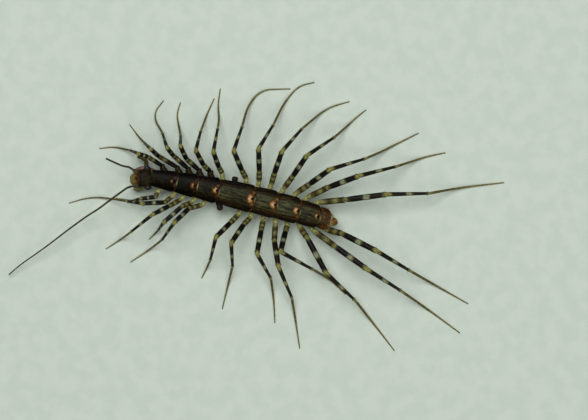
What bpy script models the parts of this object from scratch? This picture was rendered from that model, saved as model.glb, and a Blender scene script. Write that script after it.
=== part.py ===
"""Australian house centipede, life size, standing with its legs spread.

The body lies along X with the head towards -X, its right side towards +Y and +Z up. Everything is
worked out in millimetres from the front of the head and turned to metres at the end. A bearing is
the direction of a limb seen from above, in degrees from +X, anticlockwise.
"""

import math

import bmesh
import bpy
from mathutils import Matrix, Vector

# The body, in mm back from the front of the head
BODY_LENGTH = 26.1
BODY_BOW = 0.6
BOW_AT = 11.0
BOW_FRONT = 0.3
BOW_REAR = 0.6
WIDEST_AT = 16.0
WIDEST_HALF = 1.75
FRONT_SPAN = 13.0
REAR_SPAN = 10.0
NARROWING = 0.35
BELLY = 1.2
SEAT_GAP = 0.32

# The trunk's lengths: where each back plate ends, and the pairs of legs below each one
HEAD_END = 2.75
PLATE_ENDS = (6.1, 8.6, 11.3, 15.7, 18.6, 21.6, 24.3, 25.6)
PAIRS_UNDER = (1, 2, 2, 3, 2, 2, 2, 1)
PLATE_OVERHANG = 0.75
PLATE_LEAN = 0.6
LEAN_LEVEL = 1.3
NOTCH_DEPTH = 0.15
NOTCH_HALF = 0.55
TRUNK_GAP = 0.5
# Along a trunk length: share of its length, and size of its section
PLATE_RINGS = ((0.0, 0.9), (0.4, 0.965), (0.92, 1.0), (1.0, 0.975))

# Right half of the trunk's section, in half widths: back, plate margin, flank, belly
SECTION = (
    (0.38, 1.17),
    (0.70, 1.06),
    (0.90, 0.94),
    (1.00, 0.81),
    (0.96, 0.73),
    (0.82, 0.71),
    (0.82, 0.42),
    (0.70, 0.16),
    (0.42, 0.02),
)
SECTION_TOP = 1.2

# The breathing slit at the back edge of a plate, on its saddle
SADDLE_LENGTH = 1.0
SADDLE_WIDTH = 0.9
SADDLE_HEIGHT = 0.16
SADDLE_INSET = 0.52
SADDLE_ROOT = 0.3
SADDLE_SIDES = 10
# Up a saddle: level, and share of its outline
SADDLE_RINGS = ((-SADDLE_ROOT, 1.0), (0.05, 1.0), (SADDLE_HEIGHT, 0.6))
SLIT_INSET = 0.4
SLIT_LENGTH = 0.5
SLIT_WIDTH = 0.2
SLIT_DEPTH = 0.2
SLIT_SIDES = 6

# Hips: the short joint that the trunk carries for each leg
HIP_INSET = 0.45
HIP_LEVEL = 0.24
HIP_REACHES = (1.12, 0.95)
LOST_HIP_SIZE = 1.2
HIP_RISE = 8.0
HIP_RADIUS = 0.38
HIP_SHARE = 0.56
HIP_SWEEP = 28.0
HIP_FOLLOWS = (0.3, 0.42)
LAST_HIP_FOLLOWS = 0.7
HIP_BEND_AT = 0.55
HIP_END = 0.9
LOST_HIP_END = 0.8

# Legs
MIDDLE_PAIR = 8
LAST_PAIR = 15
FEMUR_LENGTHS = (2.2, 5.2)
TIBIA_LENGTHS = (2.6, 5.3)
PREFEMUR_RISE = 0.9
EVEN_PAIR_DROP = 0.3
KNUCKLE_SLOPE = 0.6
FEMUR_RISES = (0.6, 2.0)
TIBIA_FALLS = (0.5, 4.0)
ANKLE_LEVELS = (0.9, 2.0)
LANDS_AT = 0.6
FRONT_THICKNESS = 0.76
PREFEMUR_RADIUS = 0.40
FEMUR_RADIUS = 0.39
TIBIA_RADIUS = 0.30
TARSUS_RADIUS = 0.27
TIP_RADIUS = 0.13
COLLAR = 0.45
COLLAR_SHARE = 0.35
WAIST = 0.84
TARSUS_STEP = 1.1
TARSUS_FEWEST = 5
LEG_SIDES = 6
HIP_SIDES = 8
MITRE_FROM = 0.9
MITRE_LIMIT = 0.74

# The pose of each leg seen from above, in reaches and bearings: from the base of its hip to the end
# of the prefemur, then the femur, then the tibia, then one or more waves of the tarsus.
LEGS = {
    ("right", 1): ((2.9, 148), (1.2, 174), (1.3, 171), (2.1, 179), (1.9, 200)),
    ("right", 2): ((3.5, 151), (1.2, 148), (1.2, 152), (1.3, 148), (1.9, 139)),
    ("right", 3): ((3.3, 141), (1.1, 138), (2.0, 124), (2.6, 134), (2.2, 64)),
    ("right", 4): ((2.9, 139), (1.7, 125), (1.3, 108), (2.8, 115), (1.6, 84)),
    ("right", 5): ((2.0, 130), (2.0, 129), (2.5, 91), (1.8, 87), (2.7, 78)),
    ("right", 6): ((1.8, 116), (2.0, 121), (3.0, 94), (1.1, 96), (1.9, 108), (2.1, 94)),
    ("right", 8): ((2.0, 115), (2.6, 125), (3.3, 85), (2.7, 89), (2.5, 63), (3.6, 14)),
    ("right", 9): ((2.2, 95), (2.8, 104), (3.5, 72), (3.2, 78), (2.7, 61), (2.0, 25)),
    ("right", 10): ((2.4, 85), (2.9, 83), (3.8, 62), (3.0, 54), (1.7, 43), (2.3, 28)),
    ("right", 11): ((2.8, 69), (3.1, 68), (4.2, 47), (3.9, 55), (1.4, 50)),
    ("right", 12): ((2.8, 53), (3.2, 48), (4.6, 30), (1.9, 36), (5.6, 39)),
    ("right", 13): ((3.7, 44), (4.0, 33), (4.9, 27), (4.0, 31), (2.5, 24)),
    ("right", 14): ((4.1, 25), (5.2, 20), (5.3, 14), (4.2, 23), (5.4, 19)),
    ("left", 1): ((1.6, -110), (1.8, -160), (1.4, -156), (2.0, -178)),
    ("left", 2): ((2.1, -120), (2.8, -165), (1.9, -175), (3.5, -176), (1.9, -164), (2.2, -151)),
    ("left", 3): ((2.6, -129), (2.3, -139), (3.6, -130), (3.9, -134)),
    ("left", 4): ((2.2, -130), (3.0, -126), (1.2, -118), (1.8, -122)),
    ("left", 5): ((2.5, -138), (2.5, -122), (2.7, -115), (2.3, -131), (2.7, -134)),
    ("left", 8): ((2.3, -111), (2.5, -122), (3.0, -93), (2.6, -104)),
    ("left", 9): ((2.0, -108), (2.8, -111), (3.0, -76), (1.4, -93), (4.1, -91)),
    ("left", 10): ((2.1, -86), (3.0, -87), (3.5, -49), (2.9, -70), (2.8, -75)),
    ("left", 11): ((3.1, -80), (3.2, -68), (4.3, -55), (2.3, -68), (4.2, -69)),
    ("left", 12): ((1.6, -85), (2.6, -91), (4.6, -17), (2.6, -18), (2.6, -32)),
    ("left", 13): ((2.3, -51), (5.0, -49), (5.0, -31), (4.6, -39), (3.5, -40)),
    ("left", 14): ((4.2, -30), (4.9, -23), (5.2, -20), (4.4, -22), (4.7, -24)),
    ("left", 15): ((2.9, -9), (4.8, -14), (4.9, -18), (8.5, -17)),
}
# What is left of the hips of lost legs: reach and bearing
LOST_HIPS = {
    ("right", 7): (0.97, 94),
    ("right", 15): (0.33, 62),
    ("left", 6): (1.18, -64),
    ("left", 7): (0.36, -94),
}
# Legs held otherwise than the rule gives, to pass over or under a neighbour: their share of the
# femur's rise, and the level of the ankle
HELD = {
    ("right", 1): (0.4, 0.9),
    ("left", 1): (0.1, 0.8),
    ("left", 2): (1.9, 2.1),
    ("left", 11): (0.8, 1.4),
    ("left", 12): (1.2, 1.6),
}

# The head, turned to its left on the neck, with the bearings of all it carries measured before
# that turn
HEAD_TURN = 15.0
NECK_AT = 2.7
HEAD_HALF = 1.12
HEAD_FLOOR = 1.35
HEAD_HEIGHT = 1.5
HEAD_SIDES = 14
HEAD_SQUARENESS = 0.85
# Along the head: distance from its front, share of its width, of its height, and lift of its floor
HEAD_RINGS = (
    (0.0, 0.34, 0.30, 0.45),
    (0.15, 0.52, 0.48, 0.32),
    (0.55, 0.76, 0.72, 0.15),
    (1.05, 0.94, 0.92, 0.05),
    (1.6, 1.00, 1.00, 0.0),
    (2.1, 0.94, 0.96, 0.0),
    (2.66, 0.74, 0.78, 0.05),
)
MOUTH_LEVEL = 1.92
MOUTH_HALF = 0.8
MOUTH_OPEN = 0.16
MOUTH_DEPTH = 0.3

EYE_AT = (2.2, 0.91, 2.25)
EYE_BEARING = 100.0
EYE_RISE = 22.0
EYE_LENGTH = 0.42
EYE_HEIGHT = 0.32
EYE_BULGE = 0.26
EYE_BOSS = 0.26
EYE_ROOT = 0.5
EYE_SIDES = 10
# Up the dome of an eye, in shares of its bulge
EYE_RINGS = (0.0, 0.35, 0.7, 0.93)

ANTENNA_AT = (1.0, 0.72, 2.36)
ANTENNA_RISE = 14.0
ANTENNA_RADIUS = 0.28
ANTENNA_TIPS = {"right": 0.22, "left": 0.15}
ANTENNA_BOSS = 0.56
ANTENNA_ROOT = 0.3
ANTENNA_SOCKET = (0.35, 0.31)
ANTENNA_STEP = 0.9
ANTENNA_CREST = 0.15
ANTENNA_DROPS = {"right": 0.0, "left": 1.95}
ANTENNA_DROOP = 1.6
# Lengths and bearings of a feeler's gentle waves; the right one is broken off short
ANTENNA_WAVES = {
    "right": ((0.4, 143), (0.9, 168), (2.2, 153)),
    "left": ((0.5, -166), (4.4, -146), (1.5, -152), (3.0, -147), (3.6, -145), (4.1, -148), (1.9, -142)),
}

PALP_AT = {"right": (1.9, 0.75, 1.5), "left": (2.1, 0.7, 1.5)}
PALP_RADIUS = 0.27
PALP_BOSS = 0.35
PALP_ROOT = 0.4
PALP_SOCKET = 0.3
PALP_THINNING = (1.0, 1.0, 0.9, 0.5)
# Reach, bearing and level at the end of each joint, as on the right side
PALP_PATHS = {
    "right": ((1.3, 85, 1.1), (0.75, 135, 0.9), (0.55, 170, 1.0)),
    "left": ((0.92, 142, 0.9), (0.64, 172, 0.9), (0.4, 200, 1.0)),
}

FANG_AT = (3.3, 0.5, 1.25)
FANG_RADIUS = 0.28
FANG_BOSS = 0.4
FANG_ROOT = 0.6
FANG_SOCKET = 0.33
FANG_THINNING = (1.0, 1.0, 0.95, 0.7, 0.35)
FANG_PATH = ((1.0, 158, 0.55), (1.0, 180, 0.42), (0.9, 200, 0.4), (0.5, 222, 0.45))
BOSS_SIDES = 8
SMALL_LIMB_SIDES = 7

# The tail piece: distance behind the trunk's last cut, and half width
TAIL_RINGS = ((0.0, 0.55), (0.3, 0.54), (0.6, 0.4), (0.85, 0.2))
TAIL_LEVEL = 2.05
TAIL_FLATNESS = 0.85
TAIL_SIDES = 10

SHARP_FROM = 40.0
MM = 0.001
UP = Vector((0.0, 0.0, 1.0))
BACKWARDS = Vector((1.0, 0.0, 0.0))
SIDES = {"right": 1.0, "left": -1.0}


def material(name, colour, roughness):
    """A matt or waxy body colour, as one Principled material."""
    made = bpy.data.materials.new(name)
    made.use_nodes = True
    shader = made.node_tree.nodes["Principled BSDF"]
    shader.inputs["Base Color"].default_value = (*colour, 1.0)
    shader.inputs["Roughness"].default_value = roughness
    shader.inputs["Metallic"].default_value = 0.0
    return made


def bow(along):
    """How far the body's middle line bends towards its right side."""
    if along < BOW_AT:
        return BODY_BOW - BOW_FRONT * ((BOW_AT - along) / BOW_AT) ** 2
    return BODY_BOW - BOW_REAR * ((along - BOW_AT) / (BODY_LENGTH - BOW_AT)) ** 2


def half_width(along):
    span = FRONT_SPAN if along < WIDEST_AT else REAR_SPAN
    return WIDEST_HALF * (1.0 - NARROWING * ((along - WIDEST_AT) / span) ** 2)


def heading(bearing, rise=0.0):
    """The unit direction of a bearing and a rise, both in degrees."""
    flat = math.cos(math.radians(rise))
    turn = math.radians(bearing)
    return Vector((flat * math.cos(turn), flat * math.sin(turn), math.sin(math.radians(rise))))


def step(start, reach, bearing, level):
    """The point at this reach and bearing from the start, at a given level."""
    there = start + heading(bearing) * reach
    return Vector((there.x, there.y, level))


def frame(centre, along, wide, high):
    """Where a flat outline lands: its x across the limb, its y upwards, facing along it."""
    along = along.normalized()
    across = along.cross(UP).normalized()
    upwards = across.cross(along)
    place = Matrix((across * wide, upwards * high, along)).transposed().to_4x4()
    place.translation = centre
    return place


def polygon(sides):
    turn = math.tau / sides
    return [Vector((math.cos(turn * i), math.sin(turn * i), 0.0)) for i in range(sides)]


def sweep(outline, frames):
    """A closed body drawn by one outline through its frames, by extruding its end face."""
    shape = bmesh.new()
    face = shape.faces.new([shape.verts.new(frames[0] @ point) for point in outline])
    start = face
    for before, after in zip(frames, frames[1:]):
        grown = bmesh.ops.extrude_face_region(shape, geom=[face])["geom"]
        moved = [item for item in grown if isinstance(item, bmesh.types.BMVert)]
        if face is not start:
            bmesh.ops.delete(shape, geom=[face], context="FACES_ONLY")
        face = next(item for item in grown if isinstance(item, bmesh.types.BMFace))
        bmesh.ops.transform(shape, matrix=after @ before.inverted(), verts=moved)
    bmesh.ops.recalc_face_normals(shape, faces=shape.faces)
    return shape


def add_object(name, shape, finish):
    mesh = bpy.data.meshes.new(name)
    shape.to_mesh(mesh)
    shape.free()
    mesh.materials.append(finish)
    mesh.shade_smooth()
    mesh.set_sharp_from_angle(angle=math.radians(SHARP_FROM))
    made = bpy.data.objects.new(name, mesh)
    bpy.context.scene.collection.objects.link(made)
    return made


def combine(body, pieces, operation):
    """Fuse the pieces to the body, or cut them from it, and remove them."""
    group = bpy.data.collections.new(body.name + " pieces")
    bpy.context.scene.collection.children.link(group)
    for piece in pieces:
        bpy.context.scene.collection.objects.unlink(piece)
        group.objects.link(piece)
    change = body.modifiers.new(operation, "BOOLEAN")
    change.operation = operation
    change.solver = "EXACT"
    change.operand_type = "COLLECTION"
    change.collection = group
    evaluated = body.evaluated_get(bpy.context.evaluated_depsgraph_get())
    mesh = bpy.data.meshes.new_from_object(evaluated)
    body.modifiers.clear()
    body.data = mesh
    for piece in pieces:
        bpy.data.objects.remove(piece)
    bpy.data.collections.remove(group)
    keep_largest(body)


def keep_largest(body):
    """Drop the loose scraps and sealed hollows that a union can leave."""
    shape = bmesh.new()
    shape.from_mesh(body.data)
    unseen = set(shape.verts)
    surfaces = []
    while unseen:
        front = [unseen.pop()]
        surface = set(front)
        while front:
            for edge in front.pop().link_edges:
                for vertex in edge.verts:
                    if vertex in unseen:
                        unseen.remove(vertex)
                        surface.add(vertex)
                        front.append(vertex)
        surfaces.append(surface)
    largest = max(surfaces, key=len)
    spare = [vertex for vertex in shape.verts if vertex not in largest]
    bmesh.ops.delete(shape, geom=spare, context="VERTS")
    shape.to_mesh(body.data)
    shape.free()


def tube(points, radii, sides, first_along=None, last_along=None):
    """A limb through the points, mitred where it bends, with the given ways at its two ends."""
    frames = []
    for i, (centre, radius) in enumerate(zip(points, radii)):
        ahead = (points[min(i + 1, len(points) - 1)] - centre).normalized()
        behind = (centre - points[max(i - 1, 0)]).normalized()
        if i == 0:
            behind = ahead if first_along is None else first_along
            ahead = behind
        if i == len(points) - 1:
            ahead = behind if last_along is None else last_along
            behind = ahead
        along = (ahead + behind).normalized()
        turn = along.dot(ahead)
        if turn < MITRE_FROM:
            radius = radius / max(turn, MITRE_LIMIT)
        frames.append(frame(centre, along, radius, radius))
    return sweep(polygon(sides), frames)


def mirrored(place, side):
    """A place given for the right side, on either side of the bowed middle line."""
    along, across, level = place
    return Vector((along, bow(along) + SIDES[side] * across, level))


def head_turn():
    """The turn of the head, with all it carries, about the neck."""
    neck = Vector((NECK_AT, bow(NECK_AT), 0.0))
    turn = Matrix.Rotation(math.radians(HEAD_TURN), 4, "Z")
    return Matrix.Translation(neck) @ turn @ Matrix.Translation(-neck)


def turned(bearing, side):
    return bearing * SIDES[side]


def trunk_cuts():
    """Where the trunk's lengths meet at the level of the hips."""
    return [HEAD_END] + [end - PLATE_OVERHANG for end in PLATE_ENDS]


def hip_stations():
    """The place along the body of each pair of legs, and the trunk length that carries it."""
    cuts = trunk_cuts()
    places = {}
    pair = 1
    for number, count in enumerate(PAIRS_UNDER):
        for i in range(count):
            share = (i + HIP_SHARE) / count
            along = cuts[number] + share * (cuts[number + 1] - cuts[number])
            places[pair] = (along, number + 1)
            pair += 1
    return places


def hip(side, pair):
    """Base of the hip inside the trunk, its end, and the leg's knuckle beyond it."""
    along, _ = hip_stations()[pair]
    half = half_width(along)
    out = SIDES[side] * (half - HIP_INSET)
    base = Vector((along, bow(along) + out, BELLY + HIP_LEVEL * half))
    sweep_back = HIP_SWEEP * (pair - MIDDLE_PAIR) / (LAST_PAIR - MIDDLE_PAIR)
    bearing = SIDES[side] * (90.0 - sweep_back)
    reach = between(HIP_REACHES, pair)
    if (side, pair) in LOST_HIPS:
        left, bearing = LOST_HIPS[side, pair]
        way = heading(bearing, HIP_RISE)
        return base, base + way * left, base + way * (left + 1.0)
    prefemur, ahead = LEGS[side, pair][0]
    knuckle = base + heading(ahead) * prefemur
    follows = LAST_HIP_FOLLOWS if pair == LAST_PAIR else between(HIP_FOLLOWS, pair)
    bearing += follows * ((ahead - bearing + 180.0) % 360.0 - 180.0)
    end = base + heading(bearing, HIP_RISE) * reach
    left_over = math.hypot(knuckle.x - end.x, knuckle.y - end.y)
    rise = PREFEMUR_RISE - (EVEN_PAIR_DROP if pair % 2 == 0 else 0.0)
    knuckle.z = end.z + min(rise, KNUCKLE_SLOPE * left_over)
    return base, end, knuckle


def foreshortened(length, reach, limits):
    """The rise of a limb of known length that covers this reach seen from above."""
    return min(max(math.sqrt(max(length**2 - reach**2, 0.0)), limits[0]), limits[1])


def between(pair_values, pair):
    share = (pair - 1) / (LAST_PAIR - 1)
    return pair_values[0] + share * (pair_values[1] - pair_values[0])


def wave_bearing(waves, run):
    """The bearing at this run along a limb's waves, which turn evenly from one to the next."""
    corner = 0.0
    for (length, bearing), (next_length, next_bearing) in zip(waves, waves[1:]):
        corner += length
        ease = min(length, next_length) / 2
        if run < corner + ease:
            share = max((run - corner + ease) / (2 * ease), 0.0)
            return bearing + (next_bearing - bearing) * share
    return waves[-1][1]


def tarsus_path(start, waves):
    """The whip end of a leg: it follows its waves and comes down to lie on the floor."""
    reach = sum(length for length, _ in waves)
    count = max(TARSUS_FEWEST, round(reach / TARSUS_STEP))
    points = []
    radii = []
    flat = Vector((start.x, start.y, 0.0))
    for i in range(1, count + 1):
        share = i / count
        flat = flat + heading(wave_bearing(waves, (i - 0.5) * reach / count)) * (reach / count)
        radius = TARSUS_RADIUS + (TIP_RADIUS - TARSUS_RADIUS) * share
        rest = radius * math.sin(math.tau / LEG_SIDES)
        fall = max(1.0 - share / LANDS_AT, 0.0) ** 2
        points.append(Vector((flat.x, flat.y, rest + (start.z - rest) * fall)))
        radii.append(radius)
    return points, radii


def leg_joints(side, pair):
    """The leg's root, knuckle, knee and ankle."""
    _, (femur, knee_bearing), (tibia, ankle_bearing) = LEGS[side, pair][:3]
    _, end, knuckle = hip(side, pair)
    root = end + (knuckle - end).normalized() * SEAT_GAP
    share, held = HELD.get((side, pair), (1.0, None))
    rise = foreshortened(between(FEMUR_LENGTHS, pair), femur, FEMUR_RISES) * share
    knee = step(knuckle, femur, knee_bearing, knuckle.z + rise)
    fall = foreshortened(between(TIBIA_LENGTHS, pair), tibia, TIBIA_FALLS)
    level = min(max(knee.z - fall, ANKLE_LEVELS[0]), ANKLE_LEVELS[1])
    ankle = step(knee, tibia, ankle_bearing, level if held is None else held)
    return root, knuckle, knee, ankle


def add_leg(side, pair, finish):
    root, knuckle, knee, ankle = leg_joints(side, pair)
    thickness = between((FRONT_THICKNESS, 1.0), pair)
    points = [root]
    radii = [PREFEMUR_RADIUS * WAIST * thickness]
    joints = (
        (root, knuckle, PREFEMUR_RADIUS),
        (knuckle, knee, FEMUR_RADIUS),
        (knee, ankle, TIBIA_RADIUS),
    )
    for start, end, radius in joints:
        way = (end - start).normalized()
        collar = min(COLLAR, (end - start).length * COLLAR_SHARE)
        points += [start + way * collar, end - way * collar, end]
        radii += [radius * thickness, radius * thickness, radius * thickness * WAIST]
    whip, thinning = tarsus_path(ankle, LEGS[side, pair][3:])
    shape = tube(points + whip, radii + thinning, LEG_SIDES)
    return add_object(f"leg_{side}_{pair}", shape, finish)


def lean(shape):
    """Tilt a trunk length's rings back over the next one, with a notch in the middle of the back."""
    for vertex in shape.verts:
        along, across, level = vertex.co
        height = (level - BELLY) / (SECTION_TOP * half_width(along))
        notch = NOTCH_DEPTH * math.exp(-((across / NOTCH_HALF) ** 2)) * max(height, 0.0)
        moved = along + PLATE_LEAN * (level - LEAN_LEVEL) - notch
        vertex.co = (moved, across + bow(moved), level)


def add_trunk(number, finish):
    """One length of the trunk: its belly and flanks, its back plate, saddle, slit and hips."""
    cuts = trunk_cuts()
    first = cuts[number - 1] + TRUNK_GAP / 2
    last = cuts[number] - TRUNK_GAP / 2
    right = [Vector((across, level, 0.0)) for across, level in SECTION]
    left = [Vector((-point.x, point.y, 0.0)) for point in reversed(right)]
    outline = [Vector((0.0, SECTION_TOP, 0.0))] + right + [Vector((0.0, 0.0, 0.0))] + left
    frames = []
    for share, size in PLATE_RINGS:
        along = first + share * (last - first)
        wide = half_width(along) * size
        frames.append(frame(Vector((along, 0.0, BELLY)), BACKWARDS, wide, wide))
    shape = sweep(outline, frames)
    lean(shape)
    body = add_object(f"trunk_{number}", shape, finish)
    pieces = []
    if number < len(PLATE_ENDS):
        pieces.append(saddle(last, finish))
    for pair, (_, carrier) in hip_stations().items():
        if carrier == number:
            pieces += [add_hip(side, pair, finish) for side in SIDES]
    if number == 1:
        pieces += [fang_boss(side, finish) for side in SIDES]
    combine(body, pieces, "UNION")
    if number < len(PLATE_ENDS):
        combine(body, [slit(last, finish)], "DIFFERENCE")
    return body


def back_point(last, inset):
    """A point on the middle line of the back, this far ahead of a plate's rear edge."""
    along = last - inset
    level = BELLY + SECTION_TOP * half_width(along)
    moved = along + PLATE_LEAN * (level - LEAN_LEVEL) - NOTCH_DEPTH
    return Vector((moved, bow(moved), level))


def saddle(last, finish):
    """The low oval swelling round the breathing slit."""
    centre = back_point(last, SADDLE_INSET)
    outline = polygon(SADDLE_SIDES)
    frames = []
    for level, size in SADDLE_RINGS:
        place = Matrix.Diagonal((SADDLE_LENGTH / 2 * size, SADDLE_WIDTH / 2 * size, 1.0, 1.0))
        frames.append(Matrix.Translation(centre + UP * level) @ place)
    return add_object("saddle", sweep(outline, frames), finish)


def slit(last, finish):
    """What is cut out of a saddle: a narrow pit along the middle line."""
    centre = back_point(last, SLIT_INSET)
    outline = polygon(SLIT_SIDES)
    frames = []
    for level in (SADDLE_HEIGHT - SLIT_DEPTH, SADDLE_HEIGHT + SLIT_DEPTH):
        place = Matrix.Diagonal((SLIT_LENGTH / 2, SLIT_WIDTH / 2, 1.0, 1.0))
        frames.append(Matrix.Translation(centre + UP * level) @ place)
    return add_object("slit", sweep(outline, frames), finish)


def add_hip(side, pair, finish):
    base, end, knuckle = hip(side, pair)
    along = (knuckle - end).normalized()
    lost = (side, pair) in LOST_HIPS
    middle = base.lerp(end, HIP_BEND_AT)
    thickness = between((FRONT_THICKNESS, 1.0), pair) * (LOST_HIP_SIZE if lost else 1.0)
    radii = [HIP_RADIUS, HIP_RADIUS, PREFEMUR_RADIUS * (LOST_HIP_END if lost else HIP_END)]
    radii = [radius * thickness for radius in radii]
    shape = tube([base, middle, end], radii, HIP_SIDES, last_along=along)
    return add_object("hip", shape, finish)


def add_head(finish):
    outline = []
    for point in polygon(HEAD_SIDES):
        across = math.copysign(abs(point.x) ** HEAD_SQUARENESS, point.x)
        outline.append(Vector((across, 0.5 + 0.5 * point.y, 0.0)))
    frames = []
    for along, wide, high, lift in HEAD_RINGS:
        centre = Vector((along, bow(along), HEAD_FLOOR + lift))
        frames.append(frame(centre, BACKWARDS, HEAD_HALF * wide, HEAD_HEIGHT * high))
    head = add_object("head", sweep(outline, frames), finish)
    pieces = []
    for side in SIDES:
        pieces += [eye_boss(side, finish), antenna_boss(side, finish), palp_boss(side, finish)]
    combine(head, pieces, "UNION")
    combine(head, [mouth_line(finish)], "DIFFERENCE")
    return head


def mouth_line(finish):
    """The line of the mouth, under the front plate of the head."""
    shape = bmesh.new()
    bmesh.ops.create_cube(shape, size=1.0)
    bmesh.ops.scale(shape, vec=(2 * MOUTH_DEPTH, 2 * MOUTH_HALF, MOUTH_OPEN), verts=shape.verts)
    bmesh.ops.translate(shape, vec=(0.0, bow(0.0), MOUTH_LEVEL), verts=shape.verts)
    return add_object("mouth", shape, finish)


def eye_way(side):
    return heading(turned(EYE_BEARING, side), EYE_RISE)


def eye_boss(side, finish):
    way = eye_way(side)
    top = mirrored(EYE_AT, side) + way * EYE_BOSS
    frames = []
    for depth in (EYE_ROOT, 0.0):
        frames.append(frame(top - way * depth, way, EYE_LENGTH, EYE_HEIGHT))
    return add_object("eye boss", sweep(polygon(EYE_SIDES), frames), finish)


def add_eye(side, finish):
    """A compound eye: a low oval dome on its seat."""
    way = eye_way(side)
    seat = mirrored(EYE_AT, side) + way * (EYE_BOSS + SEAT_GAP)
    frames = []
    for share in EYE_RINGS:
        size = math.sqrt(1.0 - share**2)
        centre = seat + way * (EYE_BULGE * share)
        frames.append(frame(centre, way, EYE_LENGTH * size, EYE_HEIGHT * size))
    return add_object(f"eye_{side}", sweep(polygon(EYE_SIDES), frames), finish)


def antenna_way(side):
    return heading(ANTENNA_WAVES[side][0][1], ANTENNA_RISE)


def antenna_boss(side, finish):
    way = antenna_way(side)
    base = mirrored(ANTENNA_AT, side)
    points = [base - way * ANTENNA_ROOT, base + way * ANTENNA_BOSS]
    shape = tube(points, ANTENNA_SOCKET, BOSS_SIDES)
    return add_object("antenna boss", shape, finish)


def add_antenna(side, finish):
    """A feeler: many short rings in life, here one tapering whip in gentle waves."""
    waves = ANTENNA_WAVES[side]
    way = antenna_way(side)
    root = mirrored(ANTENNA_AT, side) + way * (ANTENNA_BOSS + SEAT_GAP)
    total = sum(length for length, _ in waves)
    count = round(total / ANTENNA_STEP)
    points = [root]
    radii = [ANTENNA_RADIUS]
    flat = root.copy()
    for i in range(1, count + 1):
        share = i / count
        flat = flat + heading(wave_bearing(waves, (i - 0.5) * total / count)) * (total / count)
        rise = math.sin(math.radians(ANTENNA_RISE)) * total * ANTENNA_CREST
        crest = rise * math.sin(math.pi * min(share / (2 * ANTENNA_CREST), 1.0))
        drop = ANTENNA_DROPS[side] * share**ANTENNA_DROOP
        points.append(Vector((flat.x, flat.y, root.z + crest - drop)))
        radii.append(ANTENNA_RADIUS + (ANTENNA_TIPS[side] - ANTENNA_RADIUS) * share)
    return add_object(f"antenna_{side}", tube(points, radii, LEG_SIDES, way), finish)


def jointed_path(start, joints, side):
    """The points of a small limb from its joints' reach, bearing and level."""
    points = [start]
    for reach, bearing, level in joints:
        points.append(step(points[-1], reach, turned(bearing, side), level))
    return points


def limb_root(place, joints, side):
    """The seat of a small limb on its boss, and the way the limb leaves it."""
    start = mirrored(place, side)
    points = jointed_path(start, joints, side)
    return start, (points[1] - start).normalized()


def palp_boss(side, finish):
    start, way = limb_root(PALP_AT[side], PALP_PATHS[side], side)
    points = [start - way * PALP_ROOT, start + way * PALP_BOSS]
    shape = tube(points, (PALP_SOCKET, PALP_SOCKET), BOSS_SIDES)
    return add_object("palp boss", shape, finish)


def add_palp(side, finish):
    start, way = limb_root(PALP_AT[side], PALP_PATHS[side], side)
    points = jointed_path(start, PALP_PATHS[side], side)
    points[0] = start + way * (PALP_BOSS + SEAT_GAP)
    radii = [PALP_RADIUS * share for share in PALP_THINNING]
    return add_object(f"palp_{side}", tube(points, radii, SMALL_LIMB_SIDES), finish)


def fang_boss(side, finish):
    start, way = limb_root(FANG_AT, FANG_PATH, side)
    points = [start - way * FANG_ROOT, start + way * FANG_BOSS]
    shape = tube(points, (FANG_SOCKET, FANG_RADIUS), BOSS_SIDES)
    return add_object("fang boss", shape, finish)


def add_fang(side, finish):
    """A poison claw, curving in under the head to its point."""
    start, way = limb_root(FANG_AT, FANG_PATH, side)
    points = jointed_path(start, FANG_PATH, side)
    points[0] = start + way * (FANG_BOSS + SEAT_GAP)
    radii = [FANG_RADIUS * share for share in FANG_THINNING]
    return add_object(f"fang_{side}", tube(points, radii, SMALL_LIMB_SIDES), finish)


def add_tail(finish):
    """The small end piece behind the last legs."""
    frames = []
    start = trunk_cuts()[-1] + TRUNK_GAP / 2
    for behind, wide in TAIL_RINGS:
        centre = Vector((start + behind, 0.0, TAIL_LEVEL))
        frames.append(frame(centre, BACKWARDS, wide, wide * TAIL_FLATNESS))
    shape = sweep(polygon(TAIL_SIDES), frames)
    lean(shape)
    return add_object("tail", shape, finish)


def set_on_floor(parts):
    """Centre the model on the origin with its feet on the floor, and turn it to metres."""
    corners = [vertex.co for part in parts for vertex in part.data.vertices]
    middle_x = (min(c.x for c in corners) + max(c.x for c in corners)) / 2
    middle_y = (min(c.y for c in corners) + max(c.y for c in corners)) / 2
    floor = min(c.z for c in corners)
    move = Matrix.Translation((-middle_x, -middle_y, -floor))
    for part in parts:
        part.data.transform(Matrix.Scale(MM, 4) @ move)


def main():
    for item in list(bpy.data.objects):
        bpy.data.objects.remove(item)
    plate = material("dark brown plate", (0.032, 0.022, 0.013), 0.42)
    shell = material("brown head shell", (0.060, 0.034, 0.016), 0.40)
    eye = material("black compound eye", (0.008, 0.008, 0.012), 0.25)
    limb = material("olive brown leg", (0.150, 0.110, 0.035), 0.45)
    feeler = material("brown feeler", (0.085, 0.052, 0.020), 0.50)
    claw = material("amber poison claw", (0.260, 0.130, 0.030), 0.35)
    rear = material("red brown tail", (0.190, 0.070, 0.025), 0.42)
    parts = [add_head(shell)]
    for side in SIDES:
        parts += [add_eye(side, eye), add_antenna(side, feeler), add_palp(side, limb)]
    for part in parts:
        part.data.transform(head_turn())
    parts += [add_tail(rear)] + [add_fang(side, claw) for side in SIDES]
    parts += [add_trunk(number + 1, plate) for number in range(len(PLATE_ENDS))]
    parts += [add_leg(side, pair, limb) for side, pair in LEGS]
    set_on_floor(parts)


main()
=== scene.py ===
import math
import random

import bmesh
import bpy
from mathutils import Matrix, Vector


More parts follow.
